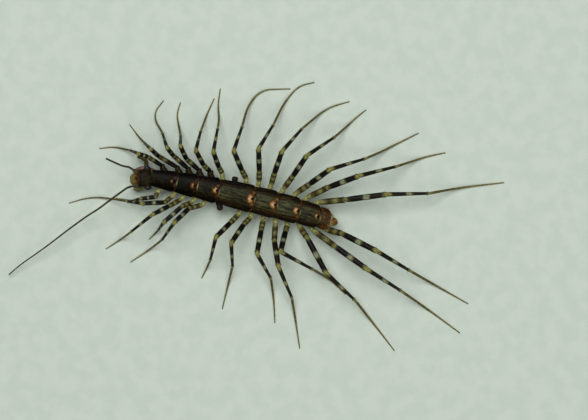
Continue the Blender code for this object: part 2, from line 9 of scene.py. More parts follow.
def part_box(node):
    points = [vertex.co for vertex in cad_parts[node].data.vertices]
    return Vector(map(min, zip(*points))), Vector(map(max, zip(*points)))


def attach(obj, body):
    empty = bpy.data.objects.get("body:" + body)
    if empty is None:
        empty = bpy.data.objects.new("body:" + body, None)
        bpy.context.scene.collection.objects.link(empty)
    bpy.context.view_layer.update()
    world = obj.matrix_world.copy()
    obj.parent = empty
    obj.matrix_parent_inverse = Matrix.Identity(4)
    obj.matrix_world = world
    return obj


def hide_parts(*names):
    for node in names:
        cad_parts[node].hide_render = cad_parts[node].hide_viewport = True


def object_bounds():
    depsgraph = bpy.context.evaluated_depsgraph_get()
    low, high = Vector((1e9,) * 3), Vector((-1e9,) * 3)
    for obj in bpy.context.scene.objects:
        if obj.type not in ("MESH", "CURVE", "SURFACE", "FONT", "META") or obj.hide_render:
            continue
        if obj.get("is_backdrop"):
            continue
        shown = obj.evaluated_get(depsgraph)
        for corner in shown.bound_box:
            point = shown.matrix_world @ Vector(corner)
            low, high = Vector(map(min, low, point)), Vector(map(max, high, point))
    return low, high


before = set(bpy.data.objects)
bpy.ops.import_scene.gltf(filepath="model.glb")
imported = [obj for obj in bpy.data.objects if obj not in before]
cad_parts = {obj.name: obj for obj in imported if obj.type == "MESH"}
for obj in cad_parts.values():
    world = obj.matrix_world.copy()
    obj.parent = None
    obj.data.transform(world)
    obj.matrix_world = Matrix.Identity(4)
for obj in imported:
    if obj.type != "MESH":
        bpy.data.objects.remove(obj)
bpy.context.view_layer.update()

# The soft body under the plates: fifteen rings in one flexible skin, pale olive and finely wrinkled,
# with a fold between them where the animal bends; the firmer plate under each ring is not drawn.
# Sizes here and below are in mm from the front of the head: X runs back, +Y is the animal's right, Z is up.
MM = 0.001
BODY_LENGTH = 26.1
BODY_BOW = 0.6
BOW_AT = 11.0
BOW_FRONT = 0.3
BOW_REAR = 0.6
WIDEST_AT = 16.0
WIDEST_HALF = 1.75
FRONT_SPAN = 13.0
REAR_SPAN = 10.0
NARROWING = 0.35
BELLY = 1.2
HEAD_END = 2.75
PLATE_ENDS = (6.1, 8.6, 11.3, 15.7, 18.6, 21.6, 24.3, 25.6)
PAIRS_UNDER = (1, 2, 2, 3, 2, 2, 2, 1)
PLATE_OVERHANG = 0.75
PLATE_LEAN = 0.6
LEAN_LEVEL = 1.3
TRUNK_GAP = 0.5
HIP_SHARE = 0.56
FANG_AT = (3.3, 0.5, 1.25)
FANG_PATH = ((1.0, 158, 0.55), (1.0, 180, 0.42), (0.9, 200, 0.4), (0.5, 222, 0.45))
FANG_SEAT = 0.72
FANG_SOLID_RADIUS = 0.28
FANG_SOLID_SIDES = 7
UP = Vector((0.0, 0.0, 1.0))
BACKWARDS = Vector((1.0, 0.0, 0.0))
SIDES = {"right": 1.0, "left": -1.0}

SKIN_FROM = 2.3
SKIN_TO = 25.3
SKIN_RINGS = 190
SKIN_SIDES = 36
SKIN_HALF = 0.79
SKIN_MIDDLE = 0.54
SKIN_HEIGHT = 0.5
SKIN_SQUARENESS = 0.8
FOLD_DEPTH = 0.09
FOLD_HALF = 0.16
CREASE_DEPTH = 0.02
CREASES_PER_MM = 3.2
SKIN_TAPER = 0.5
SKIN_END_SIZE = 0.7


def bow(along):
    """How far the body's middle line bends towards its right side."""
    if along < BOW_AT:
        return BODY_BOW - BOW_FRONT * ((BOW_AT - along) / BOW_AT) ** 2
    return BODY_BOW - BOW_REAR * ((along - BOW_AT) / (BODY_LENGTH - BOW_AT)) ** 2


def half_width(along):
    span = FRONT_SPAN if along < WIDEST_AT else REAR_SPAN
    return WIDEST_HALF * (1.0 - NARROWING * ((along - WIDEST_AT) / span) ** 2)


def leaned(along, across, level):
    """A point of the trunk, which tilts back over itself and follows the body's bow."""
    moved = along + PLATE_LEAN * (level - LEAN_LEVEL)
    return Vector((moved, across + bow(moved), level))


def colour(hex_value):
    """An sRGB hex colour as the linear red, green, blue and alpha that a shader takes."""
    parts = [int(hex_value[i:i + 2], 16) / 255 for i in (1, 3, 5)]
    linear = [part / 12.92 if part <= 0.04045 else ((part + 0.055) / 1.055) ** 2.4 for part in parts]
    return (*linear, 1.0)


def set_sockets(node, values, links):
    """Sets a node's sockets, and feeds them from other sockets or from nodes' first live outputs."""
    for name, value in values.items():
        node.inputs[name].default_value = value
    for name, source in links.items():
        if isinstance(source, bpy.types.Node):
            source = next(socket for socket in source.outputs if socket.enabled)
        node.id_data.links.new(source, node.inputs[name])


def add_node(tree, kind, values, links, **settings):
    """One shader node: the values of its sockets, what feeds them, and its own settings."""
    node = tree.nodes.new("ShaderNode" + kind)
    for name, value in settings.items():
        setattr(node, name, value)
    set_sockets(node, values, links)
    return node


def new_material(name, *marks):
    """A new material, its node tree, its surface shader, the mesh's own coordinates, and its marks."""
    made = bpy.data.materials.new(name)
    made.use_nodes = True
    tree = made.node_tree
    where = add_node(tree, "TexCoord", {}, {}).outputs["Object"]
    read = [add_node(tree, "Attribute", {}, {}, attribute_name=mark).outputs["Fac"] for mark in marks]
    return made, tree, tree.nodes["Principled BSDF"], where, *read


def set_ramp(node, stops):
    """Fills a colour ramp from its places and hex colours."""
    elements = node.color_ramp.elements
    while len(elements) < len(stops):
        elements.new(1.0)
    for element, (place, hex_value) in zip(elements, stops):
        element.position = place
        element.color = colour(hex_value)


def new_shape(*marks):
    """An empty mesh whose points can carry the named marks for the patterns."""
    shape = bmesh.new()
    for mark in marks:
        shape.verts.layers.float.new(mark)
    return shape


def set_mark(shape, mark, vertices, value):
    """Gives these points of a shape one value of a mark."""
    layer = shape.verts.layers.float[mark]
    for vertex in vertices:
        vertex[layer] = value


def across_limb(centre, along, wide, high):
    """Where a flat outline lands: its x across the limb, its y upwards, facing along it."""
    along = along.normalized()
    across = along.cross(UP).normalized()
    upwards = across.cross(along)
    place = Matrix((across * wide, upwards * high, along)).transposed().to_4x4()
    place.translation = centre
    return place


def draw(shape, outline, places, mark="", values=()):
    """Draws a closed tube: the outline goes from place to place, by extruding its end face."""
    start = [shape.verts.new(places[0] @ point) for point in outline]
    face = shape.faces.new(start)
    first = face
    rings = [start]
    for before, after in zip(places, places[1:]):
        grown = bmesh.ops.extrude_face_region(shape, geom=[face])["geom"]
        moved = [item for item in grown if isinstance(item, bmesh.types.BMVert)]
        if face is not first:
            bmesh.ops.delete(shape, geom=[face], context="FACES_ONLY")
        face = next(item for item in grown if isinstance(item, bmesh.types.BMFace))
        bmesh.ops.transform(shape, matrix=after @ before.inverted(), verts=moved)
        rings.append(moved)
    for ring, value in zip(rings, values):
        set_mark(shape, mark, ring, value)
    return rings


def heading(bearing, rise=0.0):
    """The unit direction of a bearing seen from above and a rise, both in degrees."""
    flat = math.cos(math.radians(rise))
    turn = math.radians(bearing)
    return Vector((flat * math.cos(turn), flat * math.sin(turn), math.sin(math.radians(rise))))


def rounded_outline(sides, squareness):
    """A unit outline between a circle and a box."""
    points = []
    for i in range(sides):
        turn = math.tau * i / sides
        x = math.copysign(abs(math.cos(turn)) ** squareness, math.cos(turn))
        y = math.copysign(abs(math.sin(turn)) ** squareness, math.sin(turn))
        points.append(Vector((x, y, 0.0)))
    return points


# The two poison claws mirror each other, so their boxes say where the solids' middle line and the
# rear ends of the claws are
fang_reach, fang_bearing, fang_level = FANG_PATH[0]
fang_start = Vector(FANG_AT)
fang_way = (heading(fang_bearing) * fang_reach + UP * (fang_level - fang_start.z)).normalized()
fang_seat = fang_start + fang_way * FANG_SEAT
fang_root = across_limb(fang_seat, fang_way, FANG_SOLID_RADIUS, FANG_SOLID_RADIUS)
fang_rear = max((fang_root @ point).x for point in rounded_outline(FANG_SOLID_SIDES, 1.0))
fang_boxes = [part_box(f"fang_{side}") for side in SIDES]
axis_y = sum(low.y + high.y for low, high in fang_boxes) / 4 - MM * bow(FANG_AT[0])
FROM_HEAD = Matrix.Translation((fang_boxes[0][1].x - MM * fang_rear, axis_y, 0.0)) @ Matrix.Scale(MM, 4)


def new_object(name, shape, finish):
    """An object in the scene, made from a shape in metres and its material."""
    mesh = bpy.data.meshes.new(name)
    shape.to_mesh(mesh)
    shape.free()
    mesh.materials.append(finish)
    made = bpy.data.objects.new(name, mesh)
    bpy.context.scene.collection.objects.link(made)
    return made


def add_piece(name, shape, finish, slot, *nodes):
    """Turns a closed shape in mm into a piece of the model, riding on it and standing for its nodes."""
    bmesh.ops.recalc_face_normals(shape, faces=shape.faces)
    bmesh.ops.transform(shape, matrix=FROM_HEAD, verts=shape.verts)
    piece = new_object(name, shape, finish)
    piece.data.shade_smooth()
    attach(piece, "root")
    if nodes:
        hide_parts(*nodes)


# Where the trunk's lengths meet at the level of the hips, the place along the body of each pair of
# legs, and the folds between the pairs
trunk_cuts = [HEAD_END] + [end - PLATE_OVERHANG for end in PLATE_ENDS]
stations = []
for count, start, end in zip(PAIRS_UNDER, trunk_cuts, trunk_cuts[1:]):
    stations += [start + (i + HIP_SHARE) / count * (end - start) for i in range(count)]
folds = [(before + after) / 2 for before, after in zip(stations, stations[1:])]
places = []
for i in range(SKIN_RINGS + 1):
    along = SKIN_FROM + (SKIN_TO - SKIN_FROM) * i / SKIN_RINGS
    nearest = min(abs(along - fold) for fold in folds)
    size = 1.0 - FOLD_DEPTH * math.exp(-((nearest / FOLD_HALF) ** 2))
    size -= CREASE_DEPTH * math.sin(math.tau * CREASES_PER_MM * along) ** 2
    taper = min((along - SKIN_FROM) / SKIN_TAPER, (SKIN_TO - along) / SKIN_TAPER, 1.0)
    size *= SKIN_END_SIZE + (1.0 - SKIN_END_SIZE) * math.sin(math.pi / 2 * taper)
    half = half_width(along) * size
    middle = Vector((along, 0.0, BELLY + SKIN_MIDDLE * half_width(along)))
    places.append(across_limb(middle, BACKWARDS, half * SKIN_HALF, half * SKIN_HEIGHT))
shape = new_shape()
draw(shape, rounded_outline(SKIN_SIDES, SKIN_SQUARENESS), places)
for vertex in shape.verts:
    vertex.co = leaned(*vertex.co)

# Soft cuticle: thin, leathery and slightly clear, so it is half matt, and fine wrinkles break it up
skin, tree, shader, where = new_material("soft leathery cuticle")
mottle = add_node(tree, "TexNoise", {"Scale": 1.0 / (0.5 * MM), "Detail": 4.0}, {"Vector": where})
tint = add_node(tree, "ValToRGB", {}, {"Fac": mottle})
set_ramp(tint, ((0.3, "#4c472a"), (0.5, "#716d40"), (0.7, "#8f8b5c")))
wrinkles = add_node(tree, "TexNoise", {"Scale": 1.0 / (0.12 * MM), "Detail": 3.0}, {"Vector": where})
raised = add_node(tree, "Bump", {"Strength": 0.8, "Distance": 0.03 * MM}, {"Height": wrinkles})
set_sockets(
    shader,
    {"Roughness": 0.5, "IOR": 1.5, "Subsurface Weight": 0.15, "Subsurface Scale": 0.3 * MM},
    {"Base Color": tint, "Normal": raised},
)
add_piece("soft_body", shape, skin, "back_plate", *[f"trunk_{n + 1}" for n in range(len(PLATE_ENDS))])

# The eight back plates: thin, arched shields of hard dark cuticle, each lying over the next like
# roof tiles. All but the last swell to a tan saddle at the rear edge, round the slit that the
# animal breathes through. Short spines and bristles stand on them and along their sides.
SECTION_TOP = 1.2
ARCH_DROP = 0.39
ARCH_POWER = 2.8
PLATE_SIZES = ((0.0, 0.91), (0.4, 0.97), (0.92, 1.0), (1.0, 0.985))
PLATE_LENGTHWISE = 52
PLATE_CROSSWISE = 68
PLATE_THICKNESS = 0.07
PLATE_MARKS = ("side", "shade", "saddle", "slit")
PLATE_LAP = 0.42
NECK_LAP = 0.9
NOTCH_DEPTH = 0.15
NOTCH_HALF = 0.55
CORNER_FROM = 0.72
CORNER_DEPTH = 0.24
RIM_HEIGHT = 0.05
RIM_AT = 0.95
RIM_HALF = 0.035
# The saddle of each plate from the first: half its length, half its width, and its paleness
SADDLES = (
    (0.28, 0.34, 0.6), (0.3, 0.4, 0.76), (0.36, 0.48, 0.9), (0.42, 0.6, 1.0), (0.4, 0.58, 0.98),
    (0.4, 0.54, 0.9), (0.34, 0.46, 0.78),
)
LAST_PLATE_TINT = 0.34
# How dark each plate is, from the first
PLATE_SHADES = (0.66, 0.78, 0.48, 0.15, 0.0, 0.0, 0.05, 0.1)
REAR_SHADE = 0.3
HALO = 0.4
HALO_LENGTH = 1.5
HALO_WIDTH = 1.8
REAR_RIM = 0.36
REAR_RIM_SHARE = 0.05
SADDLE_INSET = 0.6
SADDLE_HEIGHT = 0.15
HORN_BACK = 0.3
HORN_OUT = 0.12
HORN_HALF_LENGTH = 0.42
HORN_HALF_WIDTH = 0.38
HORN_PALENESS = 0.48
SLIT_INSET = 0.3
SLIT_HALF_LENGTH = 0.22
SLIT_HALF_WIDTH = 0.15
SLIT_DEPTH = 0.16
# The grid of a plate is closer near its middle line and its rear edge
CENTRE_CROWDING = 1.5
REAR_CROWDING = 1.25
PLATE_BRISTLES = 90
MARGIN_BRISTLES = 26
BRISTLE_CROWDING = 0.8
BRISTLE_SPREAD = 0.92
MARGIN = 0.995
BARE_SLIT = 0.05
BRISTLE_LEAN = 0.5
BRISTLE_SPLAY = 0.8
BRISTLE_LENGTHS = (0.12, 0.2)
BRISTLE_WIDTH = 0.03
BRISTLE_SINK = 0.03


def measure(table, share):
    """The value at a share of the way along a table of shares and values."""
    for (low, first), (high, second) in zip(table, table[1:]):
        if share <= high:
            return first + (second - first) * max(share - low, 0.0) / (high - low)
    return table[-1][1]


def bell(offset, half):
    return math.exp(-((offset / half) ** 2))


def plate_point(number, share, side):
    """A point of a back plate and its marks, from its share along it and its side, -1 to 1."""
    rear = trunk_cuts[number] - TRUNK_GAP / 2
    front = trunk_cuts[number - 1] + TRUNK_GAP / 2 - (NECK_LAP if number == 1 else PLATE_LAP)
    along = front + share * (rear - front)
    half = half_width(along) * measure(PLATE_SIZES, share)
    across = side * half
    level = BELLY + half * (SECTION_TOP - ARCH_DROP * abs(side) ** ARCH_POWER)
    level += RIM_HEIGHT * bell(abs(side) - RIM_AT, RIM_HALF)
    corner = max(abs(side) - CORNER_FROM, 0.0) / (1.0 - CORNER_FROM)
    along -= CORNER_DEPTH * corner**2 * share**3
    saddle = LAST_PLATE_TINT
    slit = 0.0
    if number < len(PLATE_ENDS):
        long, wide, paleness = SADDLES[number - 1]
        behind = along - (rear - SADDLE_INSET)
        swelling = bell(behind, long) * bell(across, wide)
        aside = abs(across) - wide - HORN_OUT
        horn = bell(behind - HORN_BACK, HORN_HALF_LENGTH) * bell(aside, HORN_HALF_WIDTH)
        halo = bell(behind, HALO_LENGTH * long) * bell(across, HALO_WIDTH * wide)
        saddle = max(paleness * swelling, HORN_PALENESS * paleness * horn, HALO * halo)
        slit = bell(along - (rear - SLIT_INSET), SLIT_HALF_LENGTH) * bell(across, SLIT_HALF_WIDTH)
        level += SADDLE_HEIGHT * swelling - SLIT_DEPTH * slit
        along -= NOTCH_DEPTH * bell(across, NOTCH_HALF) * share
    rear_rim = REAR_RIM * bell(1.0 - share, REAR_RIM_SHARE)
    return leaned(along, across, level), max(saddle, rear_rim), slit


def bristle(shape, root, way, length, width):
    """A stiff hair: a slim three-sided cone with its root sunk in."""
    turn = way.to_track_quat("Z", "X").to_matrix().to_4x4()
    middle = Matrix.Translation(root + way * (length / 2 - BRISTLE_SINK))
    made = bmesh.ops.create_cone(
        shape, cap_ends=True, segments=3, radius1=width / 2, radius2=width / 12, depth=length,
        matrix=middle @ turn,
    )
    return made["verts"]


def add_plate_bristles(shape, number, dice):
    """Short hairs scattered over a plate, leaning back, and a row along each side."""
    spots = []
    for _ in range(PLATE_BRISTLES):
        spots.append((dice.random() ** BRISTLE_CROWDING, dice.uniform(-BRISTLE_SPREAD, BRISTLE_SPREAD)))
    for i in range(MARGIN_BRISTLES):
        share = (i + 0.5) / MARGIN_BRISTLES
        spots += [(share, MARGIN), (share, -MARGIN)]
    for share, side in spots:
        root, _, slit = plate_point(number, share, side)
        if slit < BARE_SLIT:
            out = Vector((BRISTLE_LEAN, side * abs(side), 1.0 - BRISTLE_SPLAY * side**4)).normalized()
            bristle(shape, root, out, dice.uniform(*BRISTLE_LENGTHS), BRISTLE_WIDTH)


# Hard cuticle, tanned dark: smooth but for fine grain, drawn coarser than life, so it hardly shines.
# Greyish olive streaks run along it, the sides are nearly black, and the saddle is tan with orange
# outer corners.
plate_finish, tree, shader, where, side_mark, shade_mark, saddle_mark, slit_mark = new_material(
    "dark tanned cuticle", *PLATE_MARKS
)
streak_long, streak_wide = 3.0 * MM, 0.28 * MM
stretch = (1.0 / streak_long, 1.0 / streak_wide, 1.0 / streak_wide)
drawn_out = add_node(tree, "Mapping", {"Scale": stretch}, {"Vector": where})
streaks = add_node(tree, "TexNoise", {"Scale": 1.0, "Detail": 3.0, "Roughness": 0.6}, {"Vector": drawn_out})
wander = add_node(tree, "Math", {1: 0.7, 2: -0.35}, {0: streaks}, operation="MULTIPLY_ADD")
wandering = add_node(tree, "Math", {}, {0: side_mark, 1: wander}, operation="ADD")
bands = add_node(tree, "ValToRGB", {}, {"Fac": wandering})
set_ramp(bands, (
    (0.0, "#4e4c2c"), (0.09, "#12110a"), (0.2, "#636743"), (0.31, "#10100a"), (0.43, "#595b3b"),
    (0.54, "#120e07"), (0.66, "#4a3a1a"), (0.77, "#120c06"), (0.86, "#2c1d12"), (0.94, "#0b0a10"),
    (1.0, "#0c0906"),
))
speckle = add_node(tree, "TexNoise", {"Scale": 1.0 / (0.4 * MM), "Detail": 4.0}, {"Vector": where})
speckles = add_node(tree, "ValToRGB", {}, {"Fac": speckle})
set_ramp(speckles, ((0.36, "#4a463c"), (0.52, "#c9c4b4"), (0.62, "#ffffff")))
multiplied = {"data_type": "RGBA", "blend_type": "MULTIPLY"}
speckled = add_node(tree, "Mix", {"Factor": 0.7}, {"A": bands, "B": speckles}, **multiplied)
patches = add_node(tree, "Math", {1: 2.0, 2: -1.0}, {0: speckle}, operation="MULTIPLY_ADD")
shade_place = add_node(tree, "Math", {}, {0: shade_mark, 1: patches}, operation="ADD", use_clamp=True)
shading = add_node(tree, "ValToRGB", {}, {"Fac": shade_place})
set_ramp(shading, ((0.0, "#ffffff"), (0.4, "#a8a08a"), (0.75, "#544c38"), (1.0, "#2a2419")))
streaked = add_node(tree, "Mix", {"Factor": 1.0}, {"A": speckled, "B": shading}, **multiplied)
saddle_edge = add_node(tree, "Math", {1: 0.9, 2: -0.45}, {0: speckle}, operation="MULTIPLY_ADD")
saddle_place = add_node(tree, "Math", {}, {0: saddle_mark, 1: saddle_edge}, operation="ADD", use_clamp=True)
saddle_colour = add_node(tree, "ValToRGB", {}, {"Fac": saddle_place})
set_ramp(saddle_colour, (
    (0.2, "#1d1007"), (0.38, "#45290f"), (0.56, "#6e4a1c"), (0.76, "#9a7748"), (0.95, "#b59a72"),
))
saddle_share = add_node(tree, "MapRange", {"From Min": 0.14, "From Max": 0.46}, {"Value": saddle_place})
saddled = add_node(
    tree, "Mix", {}, {"Factor": saddle_share, "A": streaked, "B": saddle_colour}, data_type="RGBA"
)
slit_share = add_node(tree, "MapRange", {"From Min": 0.25, "From Max": 0.5}, {"Value": slit_mark})
slit_cut = add_node(
    tree, "Mix", {"B": colour("#0a0705")}, {"Factor": slit_share, "A": saddled}, data_type="RGBA"
)
grain = add_node(tree, "TexVoronoi", {"Scale": 1.0 / (0.09 * MM)}, {"Vector": where})
raised = add_node(tree, "Bump", {"Strength": 0.5, "Distance": 0.012 * MM}, {"Height": grain})
set_sockets(
    shader, {"Roughness": 0.42, "IOR": 1.56, "Specular IOR Level": 0.05},
    {"Base Color": slit_cut, "Normal": raised},
)

dice = random.Random(8)
for number in range(1, len(PLATE_ENDS) + 1):
    shape = new_shape(*PLATE_MARKS)
    bmesh.ops.create_grid(shape, x_segments=PLATE_LENGTHWISE, y_segments=PLATE_CROSSWISE, size=1.0)
    layers = [shape.verts.layers.float[mark] for mark in PLATE_MARKS]
    for vertex in shape.verts:
        share = 1.0 - ((1.0 - vertex.co.x) / 2.0) ** REAR_CROWDING
        side = math.copysign(abs(vertex.co.y) ** CENTRE_CROWDING, vertex.co.y)
        vertex.co, saddle, slit = plate_point(number, share, side)
        shade = PLATE_SHADES[number - 1] + REAR_SHADE * share
        for layer, value in zip(layers, (abs(side), shade, saddle, slit)):
            vertex[layer] = value
    bmesh.ops.solidify(shape, geom=shape.faces[:], thickness=PLATE_THICKNESS)
    add_plate_bristles(shape, number, dice)
    add_piece(f"back_plate_{number}", shape, plate_finish, "back_plate")

# The hips: each leg stands on a short yellow cone with a dark dot, closed by a narrow ring that
# the leg turns in. Where a leg is lost, its hip is left as a dark, healed knob.
HIP_INSET = 0.45
HIP_LEVEL = 0.24
HIP_REACHES = (1.12, 0.95)
LOST_HIP_SIZE = 1.2
HIP_RISE = 8.0
HIP_RADIUS = 0.38
HIP_SWEEP = 28.0
HIP_FOLLOWS = (0.3, 0.42)
LAST_HIP_FOLLOWS = 0.7
FRONT_THICKNESS = 0.76
MIDDLE_PAIR = 8
LAST_PAIR = 15
HIP_SIDES = 16
HIP_TURN = 0.5
PREFEMUR_RISE = 0.9
EVEN_PAIR_DROP = 0.3
KNUCKLE_SLOPE = 0.6
# Up a hip, and up what is left of a lost one: share of its reach, and size
HIP_PROFILE = (
    (-0.1, 1.1), (0.15, 1.12), (0.35, 1.08), (0.5, 0.98), (0.56, 0.86), (0.6, 0.84), (0.66, 0.95),
    (0.8, 0.98), (0.93, 0.92), (1.0, 0.76), (1.04, 0.5),
)
KNOB_PROFILE = (
    (-0.1, 1.1), (0.3, 1.04), (0.5, 0.94), (0.62, 1.0), (0.8, 1.02), (0.93, 0.84), (1.0, 0.5),
    (1.02, 0.2),
)
# On the right the front hips lie in shade, so they are painted nearly black and drawn swollen to fill that
# shade: painted shade
SHADED_HIPS = 5
SHADED_HIP_SIZE = 1.45
SHADED_HIP_TONE = 0.97
# The pose of each leg seen from above, in reaches and bearings: from the base of its hip to the end
# of the prefemur, then the femur, then the tibia, then one or more waves of the tarsus.
LEGS = {
    ("right", 1): ((2.9, 148), (1.2, 174), (1.3, 171), (2.1, 179), (1.9, 200)),
    ("right", 2): ((3.5, 151), (1.2, 148), (1.2, 152), (1.3, 148), (1.9, 139)),
    ("right", 3): ((3.3, 141), (1.1, 138), (2.0, 124), (2.6, 134), (2.2, 64)),
    ("right", 4): ((2.9, 139), (1.7, 125), (1.3, 108), (2.8, 115), (1.6, 84)),
    ("right", 5): ((2.0, 130), (2.0, 129), (2.5, 91), (1.8, 87), (2.7, 78)),
    ("right", 6): ((1.8, 116), (2.0, 121), (3.0, 94), (1.1, 96), (1.9, 108), (2.1, 94)),
    ("right", 8): ((2.0, 115), (2.6, 125), (3.3, 85), (2.7, 89), (2.5, 63), (3.6, 14)),
    ("right", 9): ((2.2, 95), (2.8, 104), (3.5, 72), (3.2, 78), (2.7, 61), (2.0, 25)),
    ("right", 10): ((2.4, 85), (2.9, 83), (3.8, 62), (3.0, 54), (1.7, 43), (2.3, 28)),
    ("right", 11): ((2.8, 69), (3.1, 68), (4.2, 47), (3.9, 55), (1.4, 50)),
    ("right", 12): ((2.8, 53), (3.2, 48), (4.6, 30), (1.9, 36), (5.6, 39)),
    ("right", 13): ((3.7, 44), (4.0, 33), (4.9, 27), (4.0, 31), (2.5, 24)),
    ("right", 14): ((4.1, 25), (5.2, 20), (5.3, 14), (4.2, 23), (5.4, 19)),
    ("left", 1): ((1.6, -110), (1.8, -160), (1.4, -156), (2.0, -178)),
    ("left", 2): ((2.1, -120), (2.8, -165), (1.9, -175), (3.5, -176), (1.9, -164), (2.2, -151)),
    ("left", 3): ((2.6, -129), (2.3, -139), (3.6, -130), (3.9, -134)),
    ("left", 4): ((2.2, -130), (3.0, -126), (1.2, -118), (1.8, -122)),
    ("left", 5): ((2.5, -138), (2.5, -122), (2.7, -115), (2.3, -131), (2.7, -134)),
    ("left", 8): ((2.3, -111), (2.5, -122), (3.0, -93), (2.6, -104)),
    ("left", 9): ((2.0, -108), (2.8, -111), (3.0, -76), (1.4, -93), (4.1, -91)),
    ("left", 10): ((2.1, -86), (3.0, -87), (3.5, -49), (2.9, -70), (2.8, -75)),
    ("left", 11): ((3.1, -80), (3.2, -68), (4.3, -55), (2.3, -68), (4.2, -69)),
    ("left", 12): ((1.6, -85), (2.6, -91), (4.6, -17), (2.6, -18), (2.6, -32)),
    ("left", 13): ((2.3, -51), (5.0, -49), (5.0, -31), (4.6, -39), (3.5, -40)),
    ("left", 14): ((4.2, -30), (4.9, -23), (5.2, -20), (4.4, -22), (4.7, -24)),
    ("left", 15): ((2.9, -9), (4.8, -14), (4.9, -18), (8.5, -17)),
}
# What is left of the hips of lost legs: reach and bearing
LOST_HIPS = {
    ("right", 7): (0.97, 94),
    ("right", 15): (0.33, 62),
    ("left", 6): (1.18, -64),
    ("left", 7): (0.36, -94),
}


def between(pair_values, pair):
    share = (pair - 1) / (LAST_PAIR - 1)
    return pair_values[0] + share * (pair_values[1] - pair_values[0])


def step(start, reach, bearing, level):
    """The point at this reach and bearing from the start, at a given level."""
    there = start + heading(bearing) * reach
    return Vector((there.x, there.y, level))


def hip(side, pair):
    """Base of the hip inside the trunk, its end, and the leg's knuckle beyond it."""
    along = stations[pair - 1]
    half = half_width(along)
    out = SIDES[side] * (half - HIP_INSET)
    base = Vector((along, bow(along) + out, BELLY + HIP_LEVEL * half))
    sweep_back = HIP_SWEEP * (pair - MIDDLE_PAIR) / (LAST_PAIR - MIDDLE_PAIR)
    bearing = SIDES[side] * (90.0 - sweep_back)
    reach = between(HIP_REACHES, pair)
    if (side, pair) in LOST_HIPS:
        left, bearing = LOST_HIPS[side, pair]
        way = heading(bearing, HIP_RISE)
        return base, base + way * left, base + way * (left + 1.0)
    prefemur, ahead = LEGS[side, pair][0]
    knuckle = base + heading(ahead) * prefemur
    follows = LAST_HIP_FOLLOWS if pair == LAST_PAIR else between(HIP_FOLLOWS, pair)
    bearing += follows * ((ahead - bearing + 180.0) % 360.0 - 180.0)
    end = base + heading(bearing, HIP_RISE) * reach
    left_over = math.hypot(knuckle.x - end.x, knuckle.y - end.y)
    rise = PREFEMUR_RISE - (EVEN_PAIR_DROP if pair % 2 == 0 else 0.0)
    knuckle.z = end.z + min(rise, KNUCKLE_SLOPE * left_over)
    return base, end, knuckle


# Leg cuticle: the colour of straw where it is thin and nearly black where it is tanned, with fine
# pores, drawn coarser than life, that dull its shine. The mark counts the joints along a leg: below
# 0 on the hip, 0 to 1 on the prefemur, 1 to 2 on the femur, 2 to 3 on the tibia, 3 to 4 on the tarsus.
HAIR_MARK = -1.0
KNOB_MARK = -0.9
HIP_MARK = -0.4
LEG_BANDS = (
    (-1.0, "#241a0c"), (-0.88, "#1e140c"), (-0.8, "#2b1d10"), (-0.7, "#8a8850"), (-0.3, "#93935a"),
    (0.15, "#86854c"), (0.28, "#4f4722"), (0.42, "#2b2411"), (0.52, "#565228"), (0.66, "#757340"),
    (0.78, "#433c1d"), (0.88, "#191409"), (1.02, "#77733e"), (1.12, "#110e08"), (1.40, "#14110a"),
    (1.47, "#7e8260"), (1.54, "#838766"), (1.61, "#141008"), (1.88, "#141008"), (1.97, "#7f7b42"),
    (2.06, "#7d7940"), (2.13, "#151109"), (2.42, "#18140b"), (2.48, "#81825c"), (2.55, "#828259"),
    (2.62, "#1a150a"), (2.91, "#1c170b"), (3.0, "#86814c"), (3.05, "#565026"), (3.4, "#5d572a"),
    (3.6, "#756d3a"), (4.0, "#6a5f32"),
)
leg_finish, tree, shader, where, joint_mark, flank_mark = new_material(
    "banded straw cuticle", "joint", "flank"
)
mottle = add_node(tree, "TexNoise", {"Scale": 1.0 / (0.3 * MM), "Detail": 3.0}, {"Vector": where})
wobble = add_node(tree, "Math", {1: 0.024, 2: 0.188}, {0: mottle}, operation="MULTIPLY_ADD")
band_place = add_node(tree, "Math", {1: 0.2}, {0: joint_mark, 2: wobble}, operation="MULTIPLY_ADD")
bands = add_node(tree, "ValToRGB", {}, {"Fac": band_place})
set_ramp(bands, [((place + 1.0) / 5.0, tone) for place, tone in LEG_BANDS])
blotches = add_node(tree, "TexNoise", {"Scale": 1.0 / (0.22 * MM), "Detail": 2.0}, {"Vector": where})
blotch_tone = add_node(tree, "ValToRGB", {}, {"Fac": blotches})
set_ramp(blotch_tone, ((0.34, "#5b4a30"), (0.5, "#ffffff")))
# Painted shade: a second mark darkens each limb's fore and rear sides, and paints nearly black the roots
# and hips that lie in shade
flank_tone = add_node(tree, "ValToRGB", {}, {"Fac": flank_mark})
set_ramp(flank_tone, ((0.5, "#ffffff"), (0.8, "#8a7d60"), (1.0, "#271c12")))
mottled = add_node(tree, "Mix", {"Factor": 0.75}, {"A": bands, "B": blotch_tone}, **multiplied)
leg_shaded = add_node(tree, "Mix", {"Factor": 1.0}, {"A": mottled, "B": flank_tone}, **multiplied)
pores = add_node(tree, "TexVoronoi", {"Scale": 1.0 / (0.07 * MM)}, {"Vector": where})
raised = add_node(tree, "Bump", {"Strength": 0.5, "Distance": 0.01 * MM}, {"Height": pores})
set_sockets(
    shader, {"Roughness": 0.42, "IOR": 1.56, "Specular IOR Level": 0.1},
    {"Base Color": leg_shaded, "Normal": raised},
)

